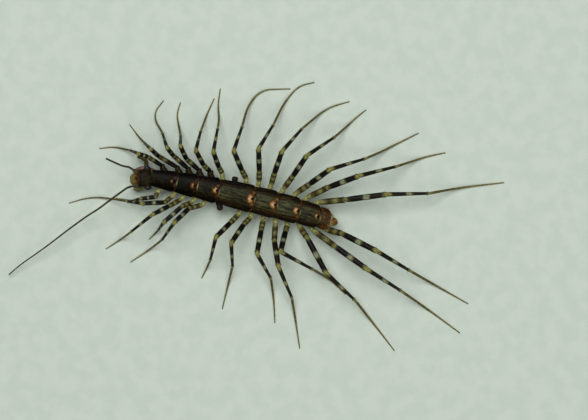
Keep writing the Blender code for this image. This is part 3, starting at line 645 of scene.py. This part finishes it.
round_outline = rounded_outline(HIP_SIDES, 1.0)
for side in SIDES:
    for pair in range(1, LAST_PAIR + 1):
        base, end, knuckle = hip(side, pair)
        lost = (side, pair) in LOST_HIPS
        dark = side == "right" and pair <= SHADED_HIPS
        thickness = between((FRONT_THICKNESS, 1.0), pair)
        thickness *= LOST_HIP_SIZE if lost else SHADED_HIP_SIZE if dark else 1.0
        places = []
        for share, size in KNOB_PROFILE if lost else HIP_PROFILE:
            along = (end - base).lerp(knuckle - end, 0.0 if lost else max(share, 0.0) * HIP_TURN)
            radius = HIP_RADIUS * thickness * size
            places.append(across_limb(base.lerp(end, share), along, radius, radius))
        shape = new_shape("joint", "flank")
        draw(shape, round_outline, places, "joint", [KNOB_MARK if lost else HIP_MARK] * len(places))
        # Painted shade on the shaded front hips on the right
        if dark:
            set_mark(shape, "flank", shape.verts, SHADED_HIP_TONE)
        add_piece(f"hip_{side}_{pair}", shape, leg_finish, "leg")

# The legs: long, thin tubes with five low ridges, jointed at the knuckle, the knee and the ankle,
# ending in a whip of many tiny rings that lies on the floor. Each joint has dark spines at its
# lower end, and rows of fine hairs stand along the ridges.
FEMUR_LENGTHS = (2.2, 5.2)
TIBIA_LENGTHS = (2.6, 5.3)
FEMUR_RISES = (0.6, 2.0)
TIBIA_FALLS = (0.5, 4.0)
ANKLE_LEVELS = (0.9, 2.0)
LANDS_AT = 0.6
# Legs held otherwise than the rule gives, to pass over or under a neighbour: their share of the
# femur's rise, and the level of the ankle
HELD = {
    ("right", 1): (0.4, 0.9),
    ("left", 1): (0.1, 0.8),
    ("left", 2): (1.9, 2.1),
    ("left", 11): (0.8, 1.4),
    ("left", 12): (1.2, 1.6),
}
PREFEMUR_RADIUS = 0.41
FEMUR_RADIUS = 0.38
TIBIA_RADIUS = 0.27
TARSUS_RADIUS = 0.18
TIP_RADIUS = 0.065
PREFEMUR_PROFILE = ((0.0, 0.66), (0.08, 0.84), (0.25, 0.98), (0.6, 1.0), (0.88, 0.98), (1.0, 0.92))
FEMUR_PROFILE = (
    (0.0, 0.82), (0.06, 0.94), (0.2, 1.04), (0.6, 1.02), (0.88, 0.94), (0.95, 1.0), (1.0, 0.9),
)
TIBIA_PROFILE = ((0.0, 1.05), (0.06, 1.12), (0.5, 0.94), (0.88, 0.74), (0.95, 0.78), (1.0, 0.7))
SEGMENT_RINGS = 16
SEGMENT_BOW = 0.03
LEG_SIDES = 10
RIDGE_DEPTH = 0.08
CAP_SIZE = 0.6
CAP_REACH = 0.35
JOINT_SIZE = 0.95
# How much painted shade darkens the fore and rear flanks, how dark the painted shade on a root in the shade
# is, and how far that reaches
FLANK_SHADE = 0.8
ROOT_SHADE = 1.9
SHADED_ROOT_REACH = 0.85
ARTICLE_LENGTH = 0.3
# Along one tiny ring of a whip: share of its length, and size
ARTICLE_PROFILE = ((0.06, 0.86), (0.3, 1.0), (0.94, 1.1))
WHIP_SIDES = 8
WHIP_CLEARANCE = 1.15
CLAW_SIZE = 0.35
CLAW_REACH = 0.01
SPINE_LENGTH = 0.3
SPINE_WIDTH = 0.09
SPINE_ANGLES = (20, 160, -90)
HAIR_STEP = 0.3
HAIR_SEAT = 0.93
HAIR_LEANS = (0.7, 1.2)
HAIR_LENGTHS = (0.14, 0.2)
HAIR_WIDTH = 0.03
HAIR_ANGLES = (90, 162, 234, 306, 378)
DOWN_FROM = 1
DOWN_STEP = 3
DOWN_LENGTH = 0.12
DOWN_WIDTH = 0.02
DOWN_ANGLES = (-20, 200, 90)


def foreshortened(length, reach, limits):
    """The rise of a limb of known length that covers this reach seen from above."""
    return min(max(math.sqrt(max(length**2 - reach**2, 0.0)), limits[0]), limits[1])


def leg_joints(side, pair):
    """The leg's root at its hip, knuckle, knee and ankle."""
    _, (femur, knee_bearing), (tibia, ankle_bearing) = LEGS[side, pair][:3]
    _, end, knuckle = hip(side, pair)
    share, held = HELD.get((side, pair), (1.0, None))
    rise = foreshortened(between(FEMUR_LENGTHS, pair), femur, FEMUR_RISES) * share
    knee = step(knuckle, femur, knee_bearing, knuckle.z + rise)
    fall = foreshortened(between(TIBIA_LENGTHS, pair), tibia, TIBIA_FALLS)
    level = min(max(knee.z - fall, ANKLE_LEVELS[0]), ANKLE_LEVELS[1])
    ankle = step(knee, tibia, ankle_bearing, level if held is None else held)
    return end, knuckle, knee, ankle


def wave_bearing(waves, run):
    """The bearing at this run along a limb's waves, which turn evenly from one to the next."""
    corner = 0.0
    for (length, bearing), (next_length, next_bearing) in zip(waves, waves[1:]):
        corner += length
        ease = min(length, next_length) / 2
        if run < corner + ease:
            share = max((run - corner + ease) / (2 * ease), 0.0)
            return bearing + (next_bearing - bearing) * share
    return waves[-1][1]


def ridged_outline(sides, depth):
    """A unit outline with a low ridge at every other point, one of them on top."""
    points = []
    for i in range(sides):
        turn = math.tau * i / sides + math.pi / 2
        size = 1.0 - depth * (i % 2)
        points.append(Vector((size * math.cos(turn), size * math.sin(turn), 0.0)))
    return points


def mark_flanks(shape, rings, shaded_root):
    """Marks painted shade: deeper the farther a point lies to the fore or rear of its limb, and at a root
    in shade.
    """
    layer = shape.verts.layers.float["flank"]
    for i, ring in enumerate(rings):
        share = i / (SHADED_ROOT_REACH * len(rings))
        darkness = min(ROOT_SHADE * (1.0 - share), 1.0) if shaded_root else 0.0
        middle = sum((vertex.co for vertex in ring), Vector()) / len(ring)
        reach = max((vertex.co - middle).xy.length for vertex in ring)
        for vertex in ring:
            aside = (vertex.co - middle).xy.length / reach
            vertex[layer] = max(FLANK_SHADE * aside, darkness)


def add_hairs(shape, place, mark, dice, length, width, angles):
    """Hairs that stand on a limb at angles round it, in degrees, leaning towards its end."""
    along = place.col[2].xyz.normalized()
    for angle in angles:
        turn = math.radians(angle)
        root = place @ Vector((HAIR_SEAT * math.cos(turn), HAIR_SEAT * math.sin(turn), 0.0))
        out = (root - place.translation).normalized()
        lean = dice.uniform(*HAIR_LEANS)
        hair = bristle(shape, root, (out + along * lean).normalized(), length, width)
        set_mark(shape, "joint", hair, mark)


def add_segment(shape, start, end, radius, profile, first_mark, shaded_root, dice):
    """One length of a leg between two joints, with its hairs and the spines at its end."""
    way = end - start
    places = []
    marks = []
    for i in range(SEGMENT_RINGS + 1):
        share = i / SEGMENT_RINGS
        size = radius * measure(profile, share)
        arch = SEGMENT_BOW * way.length * math.sin(math.pi * share)
        places.append(across_limb(start.lerp(end, share) + UP * arch, way, size, size))
        marks.append(first_mark + share)
    cap = places[-1] @ Matrix.Diagonal((CAP_SIZE, CAP_SIZE, 1.0, 1.0))
    cap.translation = places[-1].translation + way.normalized() * radius * CAP_REACH
    places.append(cap)
    marks.append(marks[-1])
    outline = ridged_outline(LEG_SIDES, RIDGE_DEPTH)
    mark_flanks(shape, draw(shape, outline, places, "joint", marks), shaded_root)
    count = round(way.length / HAIR_STEP)
    for i in range(count):
        place = places[round((i + 0.5) / count * SEGMENT_RINGS)]
        add_hairs(shape, place, HAIR_MARK, dice, dice.uniform(*HAIR_LENGTHS), HAIR_WIDTH, HAIR_ANGLES)
    add_hairs(shape, places[-3], HAIR_MARK, dice, SPINE_LENGTH, SPINE_WIDTH, SPINE_ANGLES)


def add_joint(shape, centre, radius, mark):
    """The ball of thin, pale skin that shows in a bent joint."""
    made = bmesh.ops.create_icosphere(
        shape, subdivisions=2, radius=radius, matrix=Matrix.Translation(centre)
    )
    set_mark(shape, "joint", made["verts"], mark)


def whip_places(start, waves, ring_length, course):
    """Places along a whip of tiny rings that follows its waves, and how far along it each one is.

    The course gives the whip's radius, level and slope at a share of its reach."""
    reach = sum(length for length, _ in waves)
    count = round(reach / ring_length)
    flat = start.copy()
    run = 0.0
    places = []
    shares = []
    for i in range(count):
        for share, size in ARTICLE_PROFILE:
            now = (i + share) / count
            flat += heading(wave_bearing(waves, (run + now * reach) / 2)) * (now * reach - run)
            run = now * reach
            radius, level, slope = course(now, reach)
            way = heading(wave_bearing(waves, run)) + UP * slope
            places.append(across_limb(Vector((flat.x, flat.y, level)), way, radius * size, radius * size))
            shares.append(now)
    return places, shares


def add_tarsus(shape, start, waves, thickness, dice):
    """The tarsus: tiny rings that follow its waves down to the floor, and a claw at the tip."""
    def course(now, reach):
        radius = (TARSUS_RADIUS + (TIP_RADIUS - TARSUS_RADIUS) * now) * thickness
        fall = max(1.0 - now / LANDS_AT, 0.0)
        level = radius * WHIP_CLEARANCE + (start.z - radius) * fall**2
        return radius, level, -2.0 * (start.z - radius) * fall / (LANDS_AT * reach)

    places, shares = whip_places(start, waves, ARTICLE_LENGTH, course)
    claw = places[-1] @ Matrix.Diagonal((CLAW_SIZE, CLAW_SIZE, 1.0, 1.0))
    claw.translation = places[-1].translation + heading(waves[-1][1]) * CLAW_REACH
    marks = [3.0 + share for share in shares + shares[-1:]]
    draw(shape, rounded_outline(WHIP_SIDES, 1.0), places + [claw], "joint", marks)
    for place in places[DOWN_FROM::DOWN_STEP]:
        add_hairs(shape, place, HAIR_MARK, dice, DOWN_LENGTH, DOWN_WIDTH, DOWN_ANGLES)


dice = random.Random(15)
for side, pair in LEGS:
    root, knuckle, knee, ankle = leg_joints(side, pair)
    thickness = between((FRONT_THICKNESS, 1.0), pair)
    shape = new_shape("joint", "flank")
    segments = (
        (root, knuckle, PREFEMUR_RADIUS, PREFEMUR_PROFILE),
        (knuckle, knee, FEMUR_RADIUS, FEMUR_PROFILE),
        (knee, ankle, TIBIA_RADIUS, TIBIA_PROFILE),
    )
    for number, (start, end, radius, profile) in enumerate(segments):
        # Painted shade on the prefemurs of the front legs on the right, whose roots lie in shade
        shaded_root = number == 0 and side == "right" and pair <= SHADED_HIPS
        add_segment(shape, start, end, radius * thickness, profile, float(number), shaded_root, dice)
        add_joint(shape, end, JOINT_SIZE * profile[-1][1] * radius * thickness, number + 1.0)
    add_tarsus(shape, ankle, LEGS[side, pair][3:], thickness, dice)
    add_piece(f"long_leg_{side}_{pair}", shape, leg_finish, "leg", f"leg_{side}_{pair}")

# The head: a low, rounded capsule of dark red-brown cuticle, yellow at its front, on a narrow neck.
# Shallow seams divide it, and below its front edge lies the line of the mouth.
HEAD_TURN = 15.0
NECK_AT = 2.7
HEAD_HALF = 1.12
HEAD_FLOOR = 1.35
HEAD_HEIGHT = 1.5
HEAD_SIDES = 40
HEAD_SQUARENESS = 0.85
HEAD_RING_COUNT = 44
FRONT_CROWDING = 1.15
HEAD_BACK = 2.66
HEAD_WIDTHS = (
    (0.0, 0.34), (0.15, 0.52), (0.55, 0.76), (1.05, 0.94), (1.6, 1.0), (2.1, 0.94), (2.66, 0.74),
)
HEAD_HEIGHTS = (
    (0.0, 0.30), (0.15, 0.48), (0.55, 0.72), (1.05, 0.92), (1.6, 1.0), (2.1, 0.96), (2.66, 0.78),
)
HEAD_LIFTS = ((0.0, 0.45), (0.15, 0.32), (0.55, 0.15), (1.05, 0.05), (1.6, 0.0), (2.1, 0.0), (2.66, 0.05))
SEAM_DEPTH = 0.05
SEAM_HALF = 0.05
SEAM_AT = 1.15
SEAM_SLANT = 0.35
SEAM_FROM_LEVEL = 2.0
MOUTH_LEVEL = 1.92
MOUTH_HALF = 0.06
MOUTH_END = 0.4
MOUTH_DEPTH = 0.12

neck = Matrix.Translation((NECK_AT, bow(NECK_AT), 0.0))
turn_head = neck @ Matrix.Rotation(math.radians(HEAD_TURN), 4, "Z") @ neck.inverted()


def beside(at, sign):
    """A point given for the right side, on the right or the left."""
    along, across, level = at
    return Vector((along, bow(along) + sign * across, level))


def add_head_piece(name, shape, finish, slot, *nodes):
    """A piece that turns with the head."""
    bmesh.ops.transform(shape, matrix=turn_head, verts=shape.verts)
    add_piece(name, shape, finish, slot, *nodes)


head_outline = []
for point in rounded_outline(HEAD_SIDES, 1.0):
    wide = math.copysign(abs(point.x) ** HEAD_SQUARENESS, point.x)
    head_outline.append(Vector((wide, 0.5 + 0.5 * point.y, 0.0)))
places = []
marks = []
for i in range(HEAD_RING_COUNT + 1):
    along = HEAD_BACK * (i / HEAD_RING_COUNT) ** FRONT_CROWDING
    centre = Vector((along, bow(along), HEAD_FLOOR + measure(HEAD_LIFTS, along)))
    wide = HEAD_HALF * measure(HEAD_WIDTHS, along)
    high = HEAD_HEIGHT * measure(HEAD_HEIGHTS, along)
    places.append(across_limb(centre, BACKWARDS, wide, high))
    marks.append(along)
shape = new_shape("back")
draw(shape, head_outline, places, "back", marks)
bmesh.ops.smooth_vert(
    shape, verts=shape.verts[:], factor=0.5, use_axis_x=True, use_axis_y=True, use_axis_z=True
)
for vertex in shape.verts:
    along, across, level = vertex.co
    across -= bow(along)
    seam = bell(along - SEAM_AT - SEAM_SLANT * abs(across), SEAM_HALF)
    if along > SEAM_AT:
        seam = max(seam, bell(across, SEAM_HALF))
    if level > SEAM_FROM_LEVEL:
        vertex.co.z -= SEAM_DEPTH * seam
    if along < MOUTH_END:
        vertex.co.x += MOUTH_DEPTH * bell(level - MOUTH_LEVEL, MOUTH_HALF)

# Head cuticle: tanned red-brown, nearly black behind, with fine grain, drawn coarser than life, that
# dulls its shine, and untanned yellow-olive over the front of the face
head_finish, tree, shader, where, back_mark = new_material("red brown head cuticle", "back")
mottle = add_node(tree, "TexNoise", {"Scale": 1.0 / (0.45 * MM), "Detail": 4.0}, {"Vector": where})
shifted = add_node(tree, "Math", {1: 0.5, 2: -0.25}, {0: mottle}, operation="MULTIPLY_ADD")
face_place = add_node(
    tree, "Math", {1: 1.0 / HEAD_BACK}, {0: back_mark, 2: shifted}, operation="MULTIPLY_ADD"
)
tones = add_node(tree, "ValToRGB", {}, {"Fac": face_place})
set_ramp(tones, (
    (0.0, "#5b5629"), (0.20, "#645d2f"), (0.28, "#553a17"), (0.35, "#38200d"), (0.42, "#1a0c04"),
    (0.52, "#0e0803"), (0.62, "#21170b"), (0.7, "#0e0803"), (0.82, "#262110"), (0.92, "#0e0a04"),
    (1.0, "#211d0b"),
))
grain = add_node(tree, "TexVoronoi", {"Scale": 1.0 / (0.08 * MM)}, {"Vector": where})
raised = add_node(tree, "Bump", {"Strength": 0.5, "Distance": 0.012 * MM}, {"Height": grain})
set_sockets(
    shader, {"Roughness": 0.42, "IOR": 1.56, "Specular IOR Level": 0.06},
    {"Base Color": tones, "Normal": raised},
)
add_head_piece("head_capsule", shape, head_finish, "head_shell", "head")

# The eyes: a low blue-black dome on each side of the head, made of some two hundred tiny lenses
# packed in hexagons, in a raised brown rim.
EYE_AT = (2.2, 0.91, 2.25)
EYE_BEARING = 100.0
EYE_RISE = 22.0
EYE_LENGTH = 0.42
EYE_HEIGHT = 0.32
EYE_BULGE = 0.38
EYE_BOSS = 0.26
# Up the rim: height, and size
EYE_RIM = ((-0.3, 1.05), (-0.1, 1.12), (0.0, 1.14), (0.05, 1.1), (0.06, 1.0))
RIM_SIDES = 24
RIM_MARK = 2.0

# Lens cuticle: clear and polished over a dark ground, so it is the glossiest part, faintly beaded
eye_finish, tree, shader, where = new_material("blue black compound eye")
lenses = add_node(tree, "TexVoronoi", {"Scale": 1.0 / (0.055 * MM), "Randomness": 0.15}, {"Vector": where})
lens_tone = add_node(tree, "ValToRGB", {}, {"Fac": lenses})
set_ramp(lens_tone, ((0.1, "#14151f"), (0.55, "#060507")))
raised = add_node(tree, "Bump", {"Strength": 0.8, "Distance": 0.02 * MM}, {"Height": lenses}, invert=True)
set_sockets(
    shader, {"Roughness": 0.22, "IOR": 1.5, "Specular IOR Level": 0.3},
    {"Base Color": lens_tone, "Normal": raised},
)

for side, sign in SIDES.items():
    way = heading(sign * EYE_BEARING, EYE_RISE)
    seat = beside(EYE_AT, sign) + way * EYE_BOSS
    rim = new_shape("back")
    places = []
    for height, size in EYE_RIM:
        places.append(across_limb(seat + way * height, way, EYE_LENGTH * size, EYE_HEIGHT * size))
    draw(rim, rounded_outline(RIM_SIDES, 1.0), places, "back", [RIM_MARK] * len(places))
    add_head_piece(f"eye_rim_{side}", rim, head_finish, "head_shell")
    dome = across_limb(seat, way, EYE_LENGTH, EYE_HEIGHT) @ Matrix.Diagonal((1.0, 1.0, EYE_BULGE, 1.0))
    shape = new_shape()
    bmesh.ops.create_icosphere(shape, subdivisions=4, radius=1.0, matrix=dome)
    add_head_piece(f"compound_eye_{side}", shape, eye_finish, "eye", f"eye_{side}")

# The feelers: whips of hundreds of tiny brown rings on a stout base joint. The right one is broken
# off short.
ANTENNA_AT = (1.0, 0.72, 2.36)
ANTENNA_RISE = 14.0
ANTENNA_SINK = 0.1
ANTENNA_NECK = 0.6
ANTENNA_ROOT = 0.88
ANTENNA_CREST = 0.15
ANTENNA_DROPS = {"right": 0.0, "left": 1.95}
ANTENNA_DROOP = 1.6
ANTENNA_WAVES = {
    "right": ((0.4, 143), (0.9, 168), (2.2, 153)),
    "left": ((0.5, -166), (4.4, -146), (1.5, -152), (3.0, -147), (3.6, -145), (4.1, -148), (1.9, -142)),
}
ANTENNA_BASE = 0.24
ANTENNA_THIN = 0.135
ANTENNA_ENDS = {"right": 0.11, "left": 0.075}
ANTENNA_RING = 0.2
# Along the base joint: distance, and size
BASE_JOINT = ((0.0, 0.7), (0.3, 1.0), (0.62, 1.0), (0.7, 0.75), (0.8, 0.62))
BASE_SIDES = 12
FUZZ_FROM = 4
FUZZ_STEP = 6
FUZZ_LENGTH = 0.1
FUZZ_WIDTH = 0.016
FUZZ_ANGLES = (22.9, 154.7, 269.3)

# Feeler cuticle: thin, brown and downy, so it is matt, and paler in patches. The down is drawn
# coarser than life.
feeler_finish, tree, shader, where = new_material("ringed brown feeler cuticle")
mottle = add_node(tree, "TexNoise", {"Scale": 1.0 / (0.9 * MM), "Detail": 5.0}, {"Vector": where})
tone = add_node(tree, "ValToRGB", {}, {"Fac": mottle})
set_ramp(tone, ((0.35, "#221b0d"), (0.6, "#40371b"), (0.75, "#5a5230")))
fuzz = add_node(tree, "TexNoise", {"Scale": 1.0 / (0.05 * MM)}, {"Vector": where})
raised = add_node(tree, "Bump", {"Strength": 0.5, "Distance": 0.01 * MM}, {"Height": fuzz})
set_sockets(
    shader, {"Roughness": 0.5, "IOR": 1.56, "Specular IOR Level": 0.15},
    {"Base Color": tone, "Normal": raised},
)


def add_feeler(side, socket):
    """One feeler from its socket on the head: the base joint, then the whip with its down."""
    waves = ANTENNA_WAVES[side]
    way = heading(waves[0][1], ANTENNA_RISE)
    root = socket + way * ANTENNA_ROOT
    shape = new_shape("joint")
    base = []
    for run, size in BASE_JOINT:
        centre = socket + way * (run - ANTENNA_SINK)
        base.append(across_limb(centre, way, ANTENNA_BASE * size, ANTENNA_BASE * size))
    draw(shape, rounded_outline(BASE_SIDES, 1.0), base)

    def course(now, reach):
        rise = math.sin(math.radians(ANTENNA_RISE)) * reach * ANTENNA_CREST
        crest = rise * math.sin(math.pi * min(now / (2 * ANTENNA_CREST), 1.0))
        drop = ANTENNA_DROPS[side] * now**ANTENNA_DROOP
        radius = ANTENNA_THIN + (ANTENNA_ENDS[side] - ANTENNA_THIN) * now
        return radius, root.z + crest - drop, 0.0

    places, _ = whip_places(root, waves, ANTENNA_RING, course)
    places.insert(0, across_limb(socket + way * ANTENNA_NECK, way, ANTENNA_THIN, ANTENNA_THIN))
    draw(shape, rounded_outline(WHIP_SIDES, 1.0), places)
    for place in places[FUZZ_FROM::FUZZ_STEP]:
        add_hairs(shape, place, 0.0, dice, FUZZ_LENGTH, FUZZ_WIDTH, FUZZ_ANGLES)
    add_head_piece(f"feeler_{side}", shape, feeler_finish, "feeler", f"antenna_{side}")


for side, sign in SIDES.items():
    add_feeler(side, beside(ANTENNA_AT, sign))

# The palps and the poison claws: a pair of short, hairy yellow legs that feed the mouth, and
# behind them the first legs turned into curved amber claws with black points.
PALP_AT = {"right": (1.9, 0.75, 1.5), "left": (2.1, 0.7, 1.5)}
PALP_RADIUS = 0.27
# The right palp lies in the shade, so it is given a darker, browner tone: painted shade
PALP_MARKS = {"right": 0.3, "left": 0.05}
PALP_SIZES = (
    (0.0, 0.9), (0.34, 1.0), (0.4, 0.82), (0.5, 1.0), (0.66, 0.95), (0.72, 0.75), (0.85, 0.8), (1.0, 0.4),
)
PALP_PATHS = {
    "right": ((1.3, 85, 1.1), (0.75, 135, 0.9), (0.55, 170, 1.0)),
    "left": ((0.92, 142, 0.9), (0.64, 172, 0.9), (0.4, 200, 1.0)),
}
FANG_RADIUS = 0.27
FANG_SIZES = (
    (0.0, 1.05), (0.28, 1.1), (0.33, 0.9), (0.5, 1.05), (0.62, 0.95), (0.66, 0.8), (0.8, 0.62),
    (1.0, 0.12),
)
SMALL_LIMB_RINGS = 30
SMALL_LIMB_SIDES = 14
PALP_BARE_RINGS = 8
PALP_HAIRS = 5
PALP_HAIR_LENGTH = 0.2
PALP_HAIR_WIDTH = 0.025


def small_limb(start, joints, sign):
    """Points evenly along a smooth line through a small limb's joints."""
    corners = [start]
    for reach, bearing, level in joints:
        corners.append(step(corners[-1], reach, sign * bearing, level))
    points = []
    spans = len(corners) - 1
    for i in range(SMALL_LIMB_RINGS + 1):
        run = i / SMALL_LIMB_RINGS * spans
        k = min(int(run), spans - 1)
        here, there = corners[k], corners[k + 1]
        lead = (there - corners[max(k - 1, 0)]) / 2
        follow = (corners[min(k + 2, spans)] - here) / 2
        t = run - k
        points.append(
            here * (2 * t**3 - 3 * t**2 + 1) + lead * (t**3 - 2 * t**2 + t)
            + there * (3 * t**2 - 2 * t**3) + follow * (t**3 - t**2)
        )
    return points


def draw_small_limb(shape, points, radius, sizes, mark, value=None):
    """A small limb along its points, marked with one value or with how far along each point is."""
    last = len(points) - 1
    places = []
    marks = []
    for i, point in enumerate(points):
        way = points[min(i + 1, last)] - points[max(i - 1, 0)]
        size = radius * measure(sizes, i / last)
        places.append(across_limb(point, way, size, size))
        marks.append(i / last if value is None else value)
    draw(shape, rounded_outline(SMALL_LIMB_SIDES, 1.0), places, mark, marks)
    return places


# Claw cuticle: thick, clear amber going black at the point, worn smooth, so it has a soft gloss
claw_finish, tree, shader, where, tip_mark = new_material("amber claw cuticle", "tip")
mottle = add_node(tree, "TexNoise", {"Scale": 1.0 / (0.4 * MM), "Detail": 3.0}, {"Vector": where})
shifted = add_node(tree, "Math", {1: 0.1}, {0: mottle, 2: tip_mark}, operation="MULTIPLY_ADD")
tone = add_node(tree, "ValToRGB", {}, {"Fac": shifted})
set_ramp(tone, ((0.0, "#57502c"), (0.5, "#6f5228"), (0.8, "#5a3114"), (1.0, "#160a05")))
set_sockets(shader, {"Roughness": 0.32, "IOR": 1.56}, {"Base Color": tone})

for side, sign in SIDES.items():
    shape = new_shape("joint", "flank")
    points = small_limb(beside(PALP_AT[side], sign), PALP_PATHS[side], sign)
    places = draw_small_limb(shape, points, PALP_RADIUS, PALP_SIZES, "joint", PALP_MARKS[side])
    for place in places[PALP_BARE_RINGS:]:
        angles = [dice.uniform(0.0, 360.0) for _ in range(PALP_HAIRS)]
        add_hairs(shape, place, HAIR_MARK, dice, PALP_HAIR_LENGTH, PALP_HAIR_WIDTH, angles)
    add_head_piece(f"mouth_palp_{side}", shape, leg_finish, "leg", f"palp_{side}")
    shape = new_shape("tip")
    points = small_limb(beside(FANG_AT, sign), FANG_PATH, sign)
    draw_small_limb(shape, points, FANG_RADIUS, FANG_SIZES, "tip")
    add_piece(f"poison_claw_{side}", shape, claw_finish, "claw", f"fang_{side}")

# The end of the body: a short, blunt piece behind the last legs, closed by two soft orange valves
# under a small shield, drawn here as one rounded, tapering end.
TAIL_RINGS = (
    (-0.5, 0.5), (-0.2, 0.56), (0.0, 0.56), (0.25, 0.5), (0.45, 0.5), (0.6, 0.4), (0.74, 0.26),
    (0.83, 0.1),
)
TAIL_SIDES = 24
TAIL_LEVEL = 2.05
TAIL_FLATNESS = 0.85

# End cuticle: thin, orange-brown and softly wrinkled, going olive in patches, so it is half matt
tail_finish, tree, shader, where = new_material("orange brown tail cuticle")
mottle = add_node(tree, "TexNoise", {"Scale": 1.0 / (0.5 * MM), "Detail": 3.0}, {"Vector": where})
tone = add_node(tree, "ValToRGB", {}, {"Fac": mottle})
set_ramp(tone, ((0.34, "#240f06"), (0.44, "#50290f"), (0.53, "#6b4619"), (0.62, "#66632f")))
wrinkles = add_node(tree, "TexNoise", {"Scale": 1.0 / (0.1 * MM), "Detail": 3.0}, {"Vector": where})
raised = add_node(tree, "Bump", {"Strength": 0.6, "Distance": 0.02 * MM}, {"Height": wrinkles})
set_sockets(
    shader, {"Roughness": 0.4, "IOR": 1.56, "Specular IOR Level": 0.12},
    {"Base Color": tone, "Normal": raised},
)

tail_from = trunk_cuts[-1] + TRUNK_GAP / 2
places = []
for behind, wide in TAIL_RINGS:
    centre = Vector((tail_from + behind, 0.0, TAIL_LEVEL))
    places.append(across_limb(centre, BACKWARDS, wide, wide * TAIL_FLATNESS))
shape = new_shape()
draw(shape, rounded_outline(TAIL_SIDES, 1.0), places)
for vertex in shape.verts:
    vertex.co = leaned(*vertex.co)
add_piece("tail_piece", shape, tail_finish, "tail_shell", "tail")

# The floor: one plain, pale painted board for the animal to stand on, lit by two soft studio lamps
# and seen from straight above.
FLOOR_SIZE = 1.2
CAMERA_HEIGHT = 0.25
VIEW_WIDTH = 0.0735
VIEW_TURN = 12.6
VIEW_MIDDLE = (20.78, 0.35)

# Flat paint: it has no shine, and its tone clouds faintly
floor_finish, tree, shader, where = new_material("matt pale board")
clouds = add_node(tree, "TexNoise", {"Scale": 1.0 / (2.0 * MM), "Detail": 2.0}, {"Vector": where})
tone = add_node(tree, "ValToRGB", {}, {"Fac": clouds})
set_ramp(tone, ((0.4, "#b9c4b8"), (0.6, "#bfc9bd")))
set_sockets(shader, {"Roughness": 0.8}, {"Base Color": tone})
shape = new_shape()
bmesh.ops.create_grid(shape, x_segments=8, y_segments=8, size=FLOOR_SIZE / 2)
floor = new_object("studio_floor", shape, floor_finish)
floor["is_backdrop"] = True

world = bpy.data.worlds.new("studio")
world.use_nodes = True
world.node_tree.nodes["Background"].inputs["Color"].default_value = colour("#e6efe8")
world.node_tree.nodes["Background"].inputs["Strength"].default_value = 0.2
bpy.context.scene.world = world

aim = FROM_HEAD @ Vector((*VIEW_MIDDLE, 0.0))


def add_lamp(name, energy, size, place):
    """A square soft light turned to the middle of the model."""
    lamp = bpy.data.lights.new(name, "AREA")
    lamp.energy = energy
    lamp.size = size
    made = bpy.data.objects.new(name, lamp)
    bpy.context.scene.collection.objects.link(made)
    made.location = aim + Vector(place)
    made.rotation_euler = (aim - made.location).to_track_quat("-Z", "Y").to_euler()


add_lamp("soft_key", 1.7, 0.3, (-0.1, 0.16, 0.42))
add_lamp("soft_fill", 0.9, 0.4, (0.22, -0.2, 0.36))

camera = bpy.data.cameras.new("photo_view")
camera.lens = camera.sensor_width * CAMERA_HEIGHT / VIEW_WIDTH
camera.clip_start = 0.01
eye_point = bpy.data.objects.new("photo_view", camera)
bpy.context.scene.collection.objects.link(eye_point)
eye_point.location = aim + UP * CAMERA_HEIGHT
eye_point.rotation_euler = (0.0, 0.0, math.radians(VIEW_TURN))
bpy.context.scene.camera = eye_point
bpy.context.scene.view_settings.view_transform = "Standard"

low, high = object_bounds()
